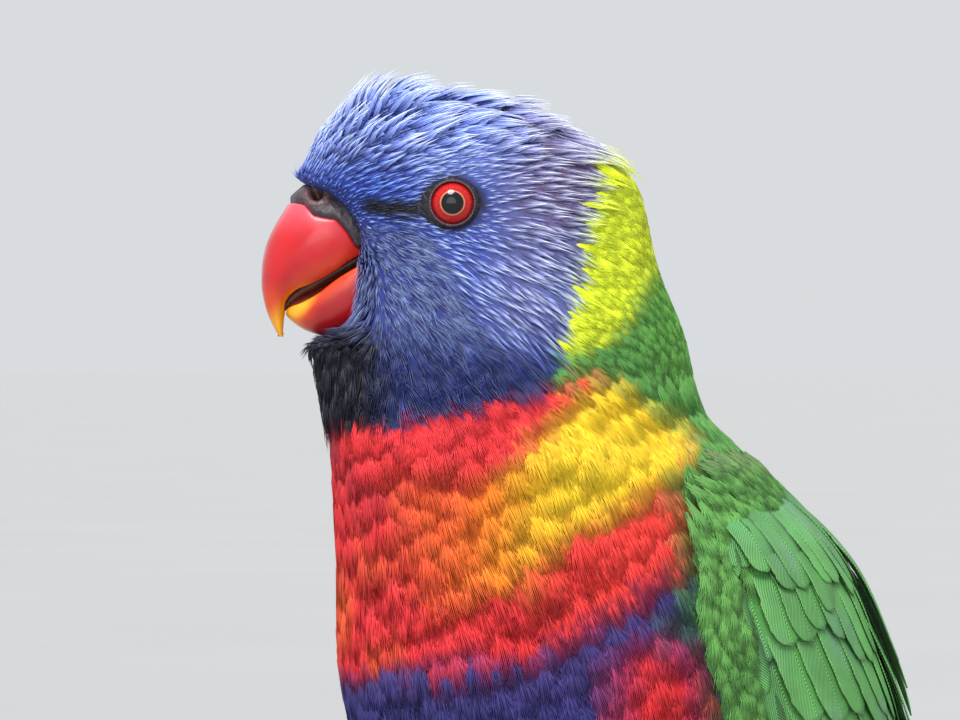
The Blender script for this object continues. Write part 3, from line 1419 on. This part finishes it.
def eye_colours(radius, angle):
    """Red rays of the iris, its pale inner ring, and the pupil."""
    rays = 0.5 + 0.5 * np.sin(angle * 41 + 3 * np.sin(angle * 7))
    iris = IRIS_RED * mix(0.8, 1.12, rays)[:, None]
    iris = blended(iris, smooth(radius, 2.75, 3.1) * 0.75, IRIS_RIM)
    iris = blended(iris, smooth(2.5 - radius, 0, 0.5) * 0.35, IRIS_SHADE)
    colour = blended(iris, smooth(PALE_RING + 0.07 - radius, 0, 0.12), IRIS_PALE)
    colour = blended(colour, smooth(PUPIL + 0.14 - radius, 0, 0.12), PUPIL_BLACK)
    return blended(colour, smooth(radius, IRIS - 0.03, IRIS + 0.15), EYEBALL_DARK)


def make_eye(side, name, material):
    turn = np.concatenate([np.linspace(0, 0.95, 130), np.linspace(1.0, math.pi, 30)])
    radii = EYE_RADIUS * np.sin(turn)
    front = np.cos(turn) > 0
    heights = EYE_RADIUS * np.cos(turn) + EYE_BULGE * np.exp(-((radii / 2.6) ** 4)) * front
    angle = turns(96)
    points = round_sheet(side, radii, heights, angle).reshape(-1, 3)
    radius = np.repeat(np.where(front, radii, 9), len(angle))
    colours = eye_colours(radius, np.tile(angle, len(radii)))
    faces = grid_faces(len(radii), len(angle))
    piece = add_piece(f"{name}_ball", points, faces, material, colours)
    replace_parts(merge(piece), name)


def almond(angle):
    """How much farther the lids' skin reaches towards the front and back corners."""
    above = 0.12 * np.maximum(0, np.sin(angle)) ** 2
    front, back = np.maximum(0, np.cos(angle + 0.25)), np.maximum(0, -np.cos(angle + 0.1))
    return 1 + 0.34 * front**4 + 0.2 * back**7 - above


def make_lids(side, name, material):
    """The bare ring of skin round an eye, with its beaded rim."""
    radii = np.concatenate([np.linspace(2.6, 3.5, 26), np.linspace(3.55, LID_OUTER, 40)])
    knots = [2.6, 3.0, 3.16, LID_RIM, 3.52, 3.8, 4.1, 4.5, LID_OUTER]
    heights = np.interp(radii, knots, [2.4, 3.05, 3.34, 3.42, 3.25, 2.9, 2.4, 1.6, 0.8])
    angle = turns(264)
    bead = np.abs(np.sin(angle * 22))
    on_rim = np.exp(-(((radii - LID_RIM) / 0.13) ** 2))[:, None]
    rings = round_sheet(side, radii, heights, angle, almond(angle))
    lumps = wobble(rings.reshape(-1, 3), 0.45, 66).reshape(len(radii), len(angle))
    rough = smooth(radii, 3.4, 3.8)[:, None] * 0.12 * lumps + on_rim * 0.16 * bead
    rings = rings + eye_axes(side)[0] * rough[..., None]
    colour = blended(LID_DARK, (on_rim * (0.55 + 0.45 * bead)).ravel() * 0.55, LID_BEAD)
    colour = blended(colour, smooth(lumps, 0.2, 0.9).ravel() * 0.35, LID_SPOT)
    points, faces = rings.reshape(-1, 3), grid_faces(len(radii), len(angle))
    merge(add_piece(f"{name}_lids", points, faces, material, colour))


def make_eyes():
    coat = {"Coat_Weight": 0.7, "Coat_Roughness": 0.03, "Specular_IOR_Level": 0.1}
    wet = textured("eye_wet", 0.2, (2200, 3), (0.85, 1.12), (0.00008, 0.3), (2600, 3), **coat)
    bare = textured("lid_skin", 0.5, (1800, 3), (0.75, 1.25), (0.00015, 0.8), (3200, 4))
    for side, name in ((1, "left_eye"), (-1, "right_eye")):
        make_eye(side, name, wet)
        make_lids(side, name, bare)


# Wings. The first (front) and last (back) feathers of a row run along these lines of angles
WING_FRONT_LINE = ([-130, -112, -86, -60, -50, -42], [114, 107, 95, 93, 96, 98])
WING_BACK_LINE = ([-130, -112, -90, -60, -42], [167, 162, 156, 148, 143])


def wing_line(place, heights):
    """Angle at heights along a wing, at a place from the front line (0) to the back line (1)."""
    front = np.interp(heights, *WING_FRONT_LINE)
    back = np.interp(heights, *WING_BACK_LINE)
    return mix(front, back, place)


# Rows of feathers down the wing: heights of the first and last root and tip, half width, and how
# far the row stands off the wing's outline
WING_ROWS = [
    {"count": 9, "roots": (-72, -62), "tips": (-114, -128), "half": 5.2, "lift": -1.9},
    {"count": 9, "roots": (-61, -54), "tips": (-88, -96), "half": 4.8, "lift": -1.3},
    {"count": 9, "roots": (-54, -47), "tips": (-75, -80), "half": 4.4, "lift": -0.9},
    {"count": 10, "roots": (-49, -43), "tips": (-64, -68), "half": 3.9, "lift": -0.5},
    {"count": 11, "roots": (-45, -40), "tips": (-56, -58), "half": 3.3, "lift": -0.1},
]
# Fans of feathers: height and angle of the first and last root and tip
WING_FANS = [
    {
        "count": 9,
        "roots": ((-90, 98), (-90, 124)),
        "tips": ((-176, 142), (-136, 128)),
        "half": 4.6,
        "lift": -4.2,
        "bow": -6,
    },
    {
        "count": 5,
        "roots": ((-48, 146), (-62, 168)),
        "tips": ((-92, 152), (-118, 172)),
        "half": 3.0,
        "lift": 0.4,
    },
    {
        "count": 5,
        "roots": ((-40, 146), (-52, 170)),
        "tips": ((-70, 149), (-88, 173)),
        "half": 2.9,
        "lift": 1.2,
    },
]
VANE_TILT = math.radians(-4)
VANE_ROUND = ([0, 0.12, 0.35, 0.6, 0.8, 0.9, 0.96, 1], [0.4, 0.7, 0.94, 1, 0.93, 0.75, 0.5, 0.06])
VANE_POINTED = ([0, 0.12, 0.35, 0.65, 0.85, 0.95, 1], [0.4, 0.75, 1, 0.9, 0.6, 0.32, 0.04])
VANE_ACROSS = [-1, -0.97, -0.86, -0.6, -0.3, -0.04, 0.04, 0.3, 0.6, 0.86, 0.97, 1]
VANE_THICK = 0.16
WING_TUCK = (2.6, math.radians(44))  # how far in and how slanted the front feathers lie


def vane_mesh(path, normals, half, tilt, shape, seed):
    """A feather's vane along a path: points, faces, and places across and along it."""
    draw = np.random.default_rng(seed)
    shares = np.linspace(0, 1, len(path))[:, None]
    along = unit(np.gradient(path, axis=0))
    side = unit(np.cross(along, normals))
    side = side * math.cos(tilt) + np.cross(along, side) * math.sin(tilt)
    up = np.cross(side, along)
    across = np.array(VANE_ACROSS)
    ragged = 1 + draw.normal(size=(len(path), 2)) * 0.02
    wide = half * np.interp(shares, *shape) * np.where(across < 0, ragged[:, :1], ragged[:, 1:])
    x = across * wide
    arch = 0.05 * half * (1 - across**2) * np.interp(shares, [0, 0.3, 1], [1, 1, 0.4])
    shaft = 0.13 * np.exp(-((x / 0.25) ** 2)) * (1 - 0.8 * shares)
    top, under = arch + shaft + VANE_THICK / 2, arch - VANE_THICK / 2

    def sheet(rise):
        return path[:, None] + side[:, None] * x[..., None] + up[:, None] * rise[..., None]

    points, faces = tube_mesh(np.concatenate([sheet(top), sheet(under)[:, ::-1]], 1))
    length = np.linalg.norm(np.diff(path, axis=0), axis=1).sum()
    loop = np.concatenate([x, x[:, ::-1]], 1)
    place = np.stack([loop, np.broadcast_to(shares * length, loop.shape)], -1)
    return points, faces, with_ends(place).reshape(-1, 2), length


class Vanes(Feathers):
    """Large feathers, each built for itself. Each has its own rectangle in the map OFBake."""

    COLUMNS = 12

    def add(self, path, normals, half, tilt, shape, colour):
        number = len(self.parts)
        points, faces, place, length = vane_mesh(path, normals, half, tilt, shape, number)
        across, share = place[:, 0] / half, place[:, 1] / length
        self.parts.append((points, faces))
        self.colours.append(colour(points, across, share))
        barb = place[:, 1] - np.abs(place[:, 0]) * 1.5
        self.barbs.append(np.stack([place[:, 0], barb], -1))
        row, column = divmod(number, self.COLUMNS)
        cell = np.stack([column + 0.5 + across * 0.44, row + 0.06 + share * 0.88], -1)
        self.bakes.append(cell / self.COLUMNS)


WING_GREEN = paint(78, 150, 74)
WING_LIGHT = paint(106, 172, 84)
WING_EDGE = paint(38, 66, 44)
WING_SHEEN = paint(104, 150, 122)
WING_RIM = paint(120, 176, 104)
WING_DOWN = paint(34, 34, 28)
SCAPULAR_EDGE = paint(92, 84, 74)
FLIGHT_DARK = paint(34, 38, 42)
SHOULDER_GREEN = paint(98, 160, 76)
SHOULDER_BROWN = paint(122, 132, 98)


def wing_colour(kind, shade, side):
    """Colours of one wing feather, by places across (from -1 to 1) and along it."""
    def colour(points, across, share):
        found = WING_GREEN * shade
        found = blended(found, smooth(share, 0.2, 0.9) * 0.35, WING_LIGHT * shade)
        sheen = smooth(wobble(points, 9, 73), -0.1, 0.8) * smooth(1 - np.abs(across), 0.1, 0.5)
        found = blended(found, sheen * 0.55, WING_SHEEN * shade)
        found = blended(found, smooth(-share, -0.35, 0) * 0.6, WING_EDGE)
        inner = smooth(np.abs(across), 0.7, 0.9) * (across * side < 0)
        found = blended(found, inner * 0.8, SCAPULAR_EDGE if kind == "back" else WING_EDGE)
        rim = np.maximum(smooth(np.abs(across), 0.86, 0.96), smooth(share, 0.95, 0.98))
        found = blended(found, rim * 0.5 * (across * side > -0.9), WING_RIM)
        if kind == "flight":
            found = blended(found, smooth(across, -0.5, 0.3) * 0.85, FLIGHT_DARK)
        return found * (1 + 0.08 * wobble(points, 4, 71))[:, None]
    return colour


def lay_wing_vane(vanes, side, row, lines, shape, colour, sink, stand=0.0, tuck=0.0):
    """Sets a feather of a row along lines of heights and angles. Its root lies sunk under the
    others, its tip stands off, and a tucked one slants in under the shoulder."""
    heights, angles = lines
    shares = np.linspace(0, 1, len(heights))
    angles = np.radians(angles) * side
    path = outline_point(WING_LEVELS, heights, angles)
    normals = outline_normal(WING_LEVELS, heights, angles)
    rise = row["lift"] - sink * (1 - shares) ** 3 + stand * shares**2
    path = path + normals * rise[:, None] - normals * WING_TUCK[0] * tuck
    tilt = (VANE_TILT + WING_TUCK[1] * tuck) * side
    vanes.add(path, normals, row["half"], tilt, shape, colour)


def lay_wing_row(vanes, side, number, row, shares, draw):
    for k in range(row["count"]):
        place = k / (row["count"] - 1) + draw.normal() * 0.012
        root = mix(*row["roots"], place) + draw.normal() * 0.9
        tip = mix(*row["tips"], place) + draw.normal() * 1.8
        heights = mix(root, tip, shares)
        kind = "flight" if number == 0 and k < 4 else "cover"
        colour = wing_colour(kind, draw.uniform(0.85, 1.12), side)
        lines = heights, wing_line(place, heights)
        sink = 3.0 + 4.5 * math.exp(-((place / 0.16) ** 2))
        tuck = math.exp(-((place / 0.11) ** 2))
        lay_wing_vane(vanes, side, row, lines, VANE_ROUND, colour, sink, tuck=tuck)


def lay_wing_fan(vanes, side, number, fan, shares, draw):
    for k in range(fan["count"]):
        place = k / (fan["count"] - 1)
        root, tip = (mix(*np.array(fan[key], float), place) for key in ("roots", "tips"))
        bow = fan.get("bow", 0) * np.sin(math.pi * shares)
        lines = mix(root[0], tip[0], shares), mix(root[1], tip[1], shares) + bow
        colour = wing_colour("back" if number else "flight", draw.uniform(0.85, 1.1), side)
        stand = draw.uniform(0, 1.2) if number else 0
        sink = 4 if number else 1
        lay_wing_vane(vanes, side, fan, lines, VANE_POINTED, colour, sink, stand)


def make_wing(side, name, material):
    vanes = Vanes()
    draw = np.random.default_rng(81)
    shares = np.linspace(0, 1, 22)
    for number, row in enumerate(WING_ROWS):
        lay_wing_row(vanes, side, number, row, shares, draw)
    for number, fan in enumerate(WING_FANS):
        lay_wing_fan(vanes, side, number, fan, shares, draw)
    piece = vanes.finish(f"{name}_vanes", "wing_plumage", material)
    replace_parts(piece, name)
    make_wing_core(side, name)
    make_shoulder(side, name)


def off_wing(points, normals):
    """How far points stand off the wing's outline along their normals."""
    angle, height = outline_angle(WING_LEVELS, points)
    return ((points - outline_point(WING_LEVELS, height, angle)) * normals).sum(-1) + SHOULDER_ROOT


SHOULDER_ROOT = 1.5  # how deep the shoulder's feathers are rooted under the wing's outline


def shoulder_colours(points, seed):
    """Grey-green down of the shoulder, browner by its top edge."""
    height = unplaced(points)[2]
    main = blended(SHOULDER_GREEN, smooth(height, -42, -36), SHOULDER_BROWN)
    main = main * (1 + 0.12 * wobble(points, 3, seed))[:, None]
    return main, main * 1.25, main * ROOT_TONE


def shoulder_roots(side, draw):
    """Where the shoulder's feathers stand: their roots, normals and ways."""
    height = draw.uniform(-80, -35.5, SHOULDER_TRIES)
    place = draw.uniform(-0.1, 1.02, SHOULDER_TRIES)
    above = (height > -52) | (place < 0.08 * smooth(-height, 80, 60) - 0.02)
    height, place = only(above, height, place)
    angle = np.radians(wing_line(place, height)) * side
    points = outline_point(WING_LEVELS, height, angle)
    normals = outline_normal(WING_LEVELS, height, angle)
    lower = height - 1
    below = outline_point(WING_LEVELS, lower, np.radians(wing_line(place, lower)) * side)
    ways = unit(below - points - dot(below - points, normals) * normals)
    points = points - normals * SHOULDER_ROOT
    right, up = side_view(points)
    keep = right > lookup(BREAST_BACK, up) + 0.5 - 3 * smooth(-up, 44, 50)
    points, normals, ways = only(keep, points, normals, ways)
    return only(thinned(points, np.full(len(points), SHOULDER_SPACING)), points, normals, ways)


def make_shoulder(side, name):
    """Small soft feathers that hide the roots of the wing's rows."""
    draw = np.random.default_rng(84)
    points, normals, ways = shoulder_roots(side, draw)
    count = len(points)
    twist = draw.normal(size=(count, 1)) * 0.12
    shape = {
        "root": points,
        "normal": normals,
        "way": unit(ways + np.cross(ways, normals) * twist),
        "length": draw.uniform(5.6, 8.4, count),
        "half": draw.uniform(1.5, 2.1, count),
        "lift": draw.uniform(0.07, 0.12, count),
        "shaft": 0.2,
        "edging": 0.2,
        "deep": 0.4,
    }
    plan = make_plan(shape, 85, 0.08, off_wing, shoulder_colours)
    material = barbed(f"{name}_shoulder_feathers", 0.65, 0.3, 0.14, "X")
    lay_coat(f"{name}_shoulder", "wing_plumage", material, [(DOWN, plan)])


def make_wing_core(side, name):
    """The arm and hand under the vanes."""
    heights = np.linspace(-42, -100, 30)
    across = np.linspace(0, 1, 24)
    shares = np.linspace(0, 1, 30)[:, None]
    front, back = wing_line(0, heights) - 1, wing_line(1, heights) + 1
    angle = np.radians(mix(front[:, None], back[:, None], across[None])) * side
    surface = outline_point(WING_LEVELS, heights[:, None], angle)
    normal = outline_normal(WING_LEVELS, heights[:, None], angle)
    under = (3.1 + 3.0 * (2 * np.abs(across - 0.5)) ** 6 + 4 * (1 - shares) ** 6)[..., None]
    outer, inner = surface - normal * under, surface - normal * (under + 3)
    points, faces = tube_mesh(np.concatenate([outer, inner[:, ::-1]], 1))
    material = textured(f"{name}_down", 0.8, (600, 4), (0.7, 1.2), (0.0002, 0.6), (900, 4))
    colours = np.tile(WING_DOWN, (len(points), 1))
    merge(add_piece(f"{name}_arm", points, faces, material, colours))


# Tail. Places along it are measured from its root, down its slope
TAIL_ROOT = np.array([0, NECK_LINE + 39.2, EYE_HEIGHT - 115])
TAIL_UP = np.array([0, math.cos(TAIL_SLOPE), math.sin(TAIL_SLOPE)])
TAIL_PAIRS = 6
TAIL_GREEN = paint(44, 130, 50)
TAIL_BLUE = paint(40, 110, 90)
TAIL_YELLOW = paint(150, 158, 48)


def on_tail(left, along, up):
    left, along, up = (np.asarray(v, float)[..., None] for v in (left, along, up))
    return TAIL_ROOT + LEFT * left + TAIL_ALONG * along + TAIL_UP * up


def tail_colour(face, shade):
    """Colours of a tail feather, green above and yellow-green below."""
    def colour(points, across, share):
        own = (TAIL_GREEN if face > 0 else TAIL_YELLOW) * shade
        end = TAIL_BLUE if face > 0 else own
        found = blended(own, smooth(share, 0.6, 1) * 0.4, end)
        found = blended(found, smooth(np.abs(across), 0.75, 1) * 0.5, WING_EDGE)
        return found * (1 + 0.06 * wobble(points, 5, 72))[:, None]
    return colour


def make_tail():
    vanes = Vanes()
    draw = np.random.default_rng(91)
    steps = 26
    shares = np.linspace(0, 1, steps)
    up = np.tile(TAIL_UP, (steps, 1))
    for pair in range(TAIL_PAIRS):
        for side in (-1, 1):
            left = side * mix(2.6 + 0.7 * pair, 1.6 + 2.9 * pair, shares)
            along = mix(14, TAIL_LENGTH - 1.1 * pair**2 - 4 * pair, shares)
            lift = 2.2 - pair - 0.25 * (side > 0)
            half = 4.7 if pair else 4.3
            path = on_tail(left, along, np.full(steps, lift))
            colour = tail_colour(1, draw.uniform(0.9, 1.08))
            vanes.add(path, up, half, math.radians(side * 6), VANE_POINTED, colour)
    for face, reach, rise in ((1, 52, (12, 3.9)), (-1, 60, (12, 5.0))):
        for row in range(3):
            for k in np.arange(-2, 2.1, 0.8) + 0.4 * (row % 2):
                left = mix(k * 3.4, k * 3.9, shares)
                along = mix(6, reach - 9 * row - 3 * abs(k), shares)
                lift = mix(rise[0] - 0.5 * k**2, rise[1] - 0.2 * k**2 + 0.5 * row, shares) * face
                colour = tail_colour(face, draw.uniform(0.9, 1.1))
                path = on_tail(left, along, lift)
                vanes.add(path, up, 3.6, math.radians(face * k * 9), VANE_ROUND, colour)
    piece = vanes.finish("tail_vanes", "tail_plumage", barbed("tail_feathers", 0.5))
    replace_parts(piece, "tail")


# Feet. Each toe: how far it spreads sideways, the way it points, how far round the perch it goes
LEG_LEFT = 14.0
ANKLE = -121.0  # height from the eye
TOE_RADIUS = 1.75
TOE_BEND = PERCH_RADIUS + 0.3 + TOE_RADIUS
TOES = [(-4.2, -1, 88), (3.4, -1, 104), (-2.8, 1, 76), (4.6, 1, 96)]
SCUTE_DEPTH = 0.09  # share of the radius
CLAW_ARC = 40
CLAW_RADII = [1.25, 1.1, 0.85, 0.55, 0.12]
TOE_GREY = paint(84, 86, 96)
TOE_PALE = paint(120, 118, 122)
CLAW_ROOT = paint(46, 44, 46)
CLAW_END = paint(24, 22, 24)


def on_perch(left, angle, radius):
    angle = np.radians(angle)
    spread = np.broadcast_arrays(left, np.sin(angle) * radius, PERCH_Z + np.cos(angle) * radius)
    return np.stack(spread, -1)


def toe_path(toe, start, end, steps, radius):
    spread, way, reach = toe
    angle = np.linspace(start, end, steps)
    sideways = spread * np.sin(math.pi / 2 * np.minimum(1, angle / reach))
    return on_perch(LEG_LEFT + sideways, way * angle, radius)


def scaled_body(path, radii, around, scutes):
    """A round body ringed with scutes."""
    rings = np.abs(np.sin(math.pi * np.linspace(0, 1, len(path)) * scutes)) ** 0.5
    grow = radii * (1 - SCUTE_DEPTH * (1 - rings))
    return along_path(path, grow[:, None] * np.ones(around), around)


def make_foot(side, name, material):
    ankle = np.array([LEG_LEFT, 1.2, EYE_HEIGHT + ANKLE])
    heel = np.array([LEG_LEFT, 0.4, PERCH_Z + TOE_BEND + 0.2])
    shank = mix(ankle, heel, np.linspace(0, 1, 12)[:, None])
    parts = [tube_mesh(scaled_body(shank, np.linspace(2.2, 2.7, 12), 28, 3))]
    for toe in TOES:
        path = toe_path(toe, 0, toe[2], 72, TOE_BEND)
        swell = through([1.05, 1.1, 1.0, 1.04, 0.95, 0.8], 72) * TOE_RADIUS
        parts.append(tube_mesh(scaled_body(path, swell, 24, 9)))
    points, faces = joined(parts)
    points = points * [side, 1, 1]
    colours = blended(TOE_GREY, smooth(wobble(points, 2, 95), 0, 0.8) * 0.4, TOE_PALE)
    piece = add_piece(f"{name}_scaled", points, faces, material, colours)
    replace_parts(merge(piece), name)


def make_claws(side, name, material):
    steps, around = 26, 20
    for number, toe in enumerate(TOES):
        path = toe_path(toe, toe[2] + 2.6, toe[2] + CLAW_ARC, steps, TOE_BEND - 0.2)
        path[:, 1] += toe[1] * -0.5 * np.linspace(0, 1, steps) ** 3
        points, faces = tube_mesh(along_path(path, through(CLAW_RADII, steps), around))
        points = points * [side, 1, 1]
        shares = np.repeat(np.linspace(0, 1, steps + 2), around)
        colours = blended(CLAW_ROOT, shares, CLAW_END)
        claw = add_piece(f"{name}_horn_{number + 1}", points, faces, material, colours)
        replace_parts(merge(claw), f"{name}_claw_{number + 1}")


def foot_material():
    """Skin in small raised plates."""
    shader = Shader("foot_skin", 0.55)
    cells = shader.add("ShaderNodeTexVoronoi", feature="DISTANCE_TO_EDGE", Scale=900)
    shader.join(shader.place(), cells.inputs["Vector"])
    plates = shader.add("ShaderNodeMapRange")
    plates.inputs["From Max"].default_value = 0.12
    shader.join(cells.outputs["Distance"], plates.inputs["Value"])
    shader.bump(plates.outputs["Result"], 0.0002, 0.8)
    return shader.tinted(shader.noise(700, 4), 0.75, 1.2)


def make_legs():
    skin = foot_material()
    streaks = (900, 4, (1, 1, 0.3))
    horn = textured("claw_horn", 0.3, streaks, (0.8, 1.3), (0.0001, 0.5), Coat_Weight=0.3)
    for side, name in ((1, "left"), (-1, "right")):
        make_foot(side, f"{name}_foot", skin)
        make_claws(side, name, horn)


# Perch and stand
PERCH_LENGTH = 116.0
BASE_RADIUS = 62.0
BASE_THICKNESS = 9.0
ROD_RADIUS = 3.0
GRIP = 10.0  # half the length of branch that a foot covers
BARK_BROWN = paint(112, 92, 72)
BARK_DARK = paint(74, 58, 44)
CUT_WOOD = paint(196, 164, 118)
WOOD_DARK = paint(58, 36, 24)
WOOD_LIGHT = paint(112, 74, 46)
BRASS = paint(196, 154, 84)
BRASS_WORN = paint(152, 112, 58)


def perch_rings(steps, around):
    """The branch's bark, cracked and worn, and smoother where the feet grip it."""
    left = np.linspace(-0.5, 0.5, steps)[:, None] * PERCH_LENGTH
    angle = turns(around)[None]
    free = smooth(np.abs(np.abs(left) - LEG_LEFT), GRIP - 1, GRIP + 2)
    worn = (0.25 + 0.45 * np.sin(left * 0.16 + 1) ** 2) * free
    fold = 0.22 * (1 + np.sin(3 * angle + left * 0.05)) * free
    radius = PERCH_RADIUS - worn - fold
    rings = np.stack(np.broadcast_arrays(left, np.sin(angle) * radius, np.cos(angle) * radius), -1)
    flat = rings.reshape(-1, 3)
    cracks = np.abs(wobble(flat * [0.3, 1, 1], 1.6, 97)) ** 0.6
    bark = (0.35 * cracks + 0.14 * wobble(flat, 1.1, 98)).reshape(steps, around)
    inward = (0.4 - np.clip(bark, -0.1, 0.4)) * (0.35 + 0.65 * free)
    return rings - rings * [0, 1, 1] / radius[..., None] * inward[..., None]


def perch_colours(points):
    """Brown bark, and pale ringed wood where the branch is cut."""
    inner = np.hypot(points[:, 1], points[:, 2] - PERCH_Z)
    cut = (np.abs(points[:, 0]) > PERCH_LENGTH / 2 - 0.01) & (inner < PERCH_RADIUS * 0.86)
    patches = smooth(wobble(points * [0.4, 1, 1], 3, 99), -0.2, 0.8) * 0.6
    wood = CUT_WOOD * (0.9 + 0.1 * np.sin(inner * 7))[:, None]
    return np.where(cut[:, None], wood, blended(BARK_BROWN, patches, BARK_DARK))


def make_perch():
    rings = perch_rings(240, 120)
    ends = [rings[:1] * [1, share, share] for share in (0.12, 0.4, 0.7, 0.93)]
    last = [rings[-1:] * [1, share, share] for share in (0.93, 0.7, 0.4, 0.12)]
    points, faces = tube_mesh(np.concatenate([*ends, rings, *last]) + UP * PERCH_Z)
    material = textured("bark", 0.85, (500, 6, (0.3, 1, 1)), (0.6, 1.3), (0.0005, 0.9))
    piece = add_piece("perch_bark", points, faces, material, perch_colours(points))
    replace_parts(merge(piece), "perch")


def lathe(name, profile, material, node, around=160):
    """A turned piece: radii and heights of its profile, from its foot round to its top."""
    radii, heights = profile.T[..., None]
    angle = turns(around)
    heights = np.broadcast_to(heights, (len(profile), around))
    points = np.stack([radii * np.cos(angle), radii * np.sin(angle), heights], -1).reshape(-1, 3)
    faces = grid_faces(len(profile), around)
    piece = merge(add_piece(name, points, faces, material))
    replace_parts(piece, node)


def rounded(corners, radius, steps=6):
    """A profile whose inner corners are rounded off."""
    corners = np.array(corners, float)
    found = [corners[0]]
    for before, corner, after in zip(corners, corners[1:], corners[2:]):
        start = corner + (before - corner) / np.linalg.norm(before - corner) * radius
        end = corner + (after - corner) / np.linalg.norm(after - corner) * radius
        for t in np.linspace(0, 1, steps):
            found.append((1 - t) ** 2 * start + 2 * t * (1 - t) * corner + t**2 * end)
    return np.array([*found, corners[-1]])


def wood_material():
    shader = Shader("turned_wood", 0.45, Coat_Weight=0.25, Coat_Roughness=0.3)
    grain = shader.noise(60, 8, (0.12, 1, 1))
    fine = shader.noise(700, 4, (0.05, 1, 1))
    colour = shader.blend(WOOD_DARK, WOOD_LIGHT, shader.spread(grain, 0, 1))
    shader.bump(fine, 0.0001, 0.4)
    return shader.colour(shader.scaled(colour, shader.spread(fine, 0.8, 1.15)))


def brass_material():
    shader = Shader("brass", 0.3, Metallic=1.0)
    worn = shader.noise(140, 5)
    colour = shader.blend(BRASS, BRASS_WORN, shader.spread(worn, 0, 1))
    brushed = shader.noise(600, 3, (1, 1, 0.05))
    shader.bump(brushed, 0.00003, 0.4)
    shader.join(shader.spread(worn, 0.22, 0.42), shader.body.inputs["Roughness"])
    return shader.colour(colour)


def make_stand():
    top = BASE_THICKNESS
    base = [
        (0, 0), (BASE_RADIUS - 0.8, 0), (BASE_RADIUS, 0.8), (BASE_RADIUS, top - 2),
        (BASE_RADIUS - 2, top), (0, top),
    ]
    lathe("base_turned", rounded(base, 0.55), wood_material(), "stand_base")
    brass = brass_material()
    low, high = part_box("stand_collar")
    foot, head = low.z / MM, high.z / MM
    inner = ROD_RADIUS + 0.3
    collar = [
        (inner, foot), (7, foot), (7, foot + 3), (5.5, head), (inner, head), (inner, foot),
    ]
    lathe("collar_turned", rounded(collar, 0.35), brass, "stand_collar")
    low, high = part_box("stand_rod")
    foot, head = low.z / MM, high.z / MM
    rod = [(0, foot), (ROD_RADIUS, foot), (ROD_RADIUS, head), (0, head)]
    lathe("rod_turned", rounded(rod, 0.3), brass, "stand_rod", 64)


# Studio. Each sun: its name, where it stands, how many degrees wide it is, and its strength
SUNS = (
    ("key", (0.62, -0.55, 1.25), 28, 3.7),
    ("fill", (0.8, -0.55, 0.12), 40, 0.7),
    ("rim", (-0.5, 0.75, 0.8), 30, 0.5),
)
SKY = (0.80, 0.83, 0.86, 1)
SKY_STRENGTH = 0.86
FLOOR_RADIUS = 80  # metres
FLOOR_TONE = (0.35, 0.362)


def make_camera():
    data = bpy.data.cameras.new("camera")
    data.lens = VIEW_LENS
    data.sensor_width = VIEW_SENSOR
    distance = VIEW_WIDTH * VIEW_LENS / VIEW_SENSOR
    target = EYE_MIDDLE + VIEW_RIGHT * VIEW_SHIFT[0] + UP * VIEW_SHIFT[1]
    camera = add_object("camera", data)
    camera.location = (target + VIEW_BACK * distance) * MM
    camera.rotation_mode = "QUATERNION"
    camera.rotation_quaternion = Vector(-VIEW_BACK).to_track_quat("-Z", "Y")
    bpy.context.scene.camera = camera


def make_floor():
    mesh = bpy.data.meshes.new("floor")
    rim = [(FLOOR_RADIUS * math.cos(a), FLOOR_RADIUS * math.sin(a), 0) for a in turns(64)]
    mesh.from_pydata(rim, [], [range(64)])
    floor = add_object("floor", mesh)
    shader = Shader("floor", 0.75)
    tone = shader.spread(shader.noise(3, 2), *FLOOR_TONE)
    pale = shader.add("ShaderNodeCombineColor")
    for socket in pale.inputs[:3]:
        shader.join(tone, socket)
    mesh.materials.append(shader.colour(pale.outputs[0]))


def add_sun(name, direction, softness, strength):
    data = bpy.data.lights.new(name, "SUN")
    data.angle = math.radians(softness)
    data.energy = strength
    sun = add_object(name, data)
    sun.rotation_mode = "QUATERNION"
    sun.rotation_quaternion = Vector(direction).to_track_quat("Z", "Y")


def make_studio():
    make_floor()
    world = bpy.data.worlds.new("studio")
    world.use_nodes = True
    sky = world.node_tree.nodes["Background"]
    sky.inputs["Color"].default_value = SKY
    sky.inputs["Strength"].default_value = SKY_STRENGTH
    bpy.context.scene.world = world
    for sun in SUNS:
        add_sun(*sun)


make_camera()
make_studio()
bpy.context.scene.view_settings.view_transform = "Standard"
SKIN_MATERIAL = make_skin()
make_thigh(1, "left_thigh", SKIN_MATERIAL)
make_thigh(-1, "right_thigh", SKIN_MATERIAL)
make_head_coat()
make_body_coat()
make_bill()
make_mouth()
make_eyes()
WING_VANES = barbed("wing_feathers", 0.55, 0.58, 0.2)
make_wing(1, "left_wing", WING_VANES)
make_wing(-1, "right_wing", WING_VANES)
make_tail()
make_legs()
make_perch()
make_stand()
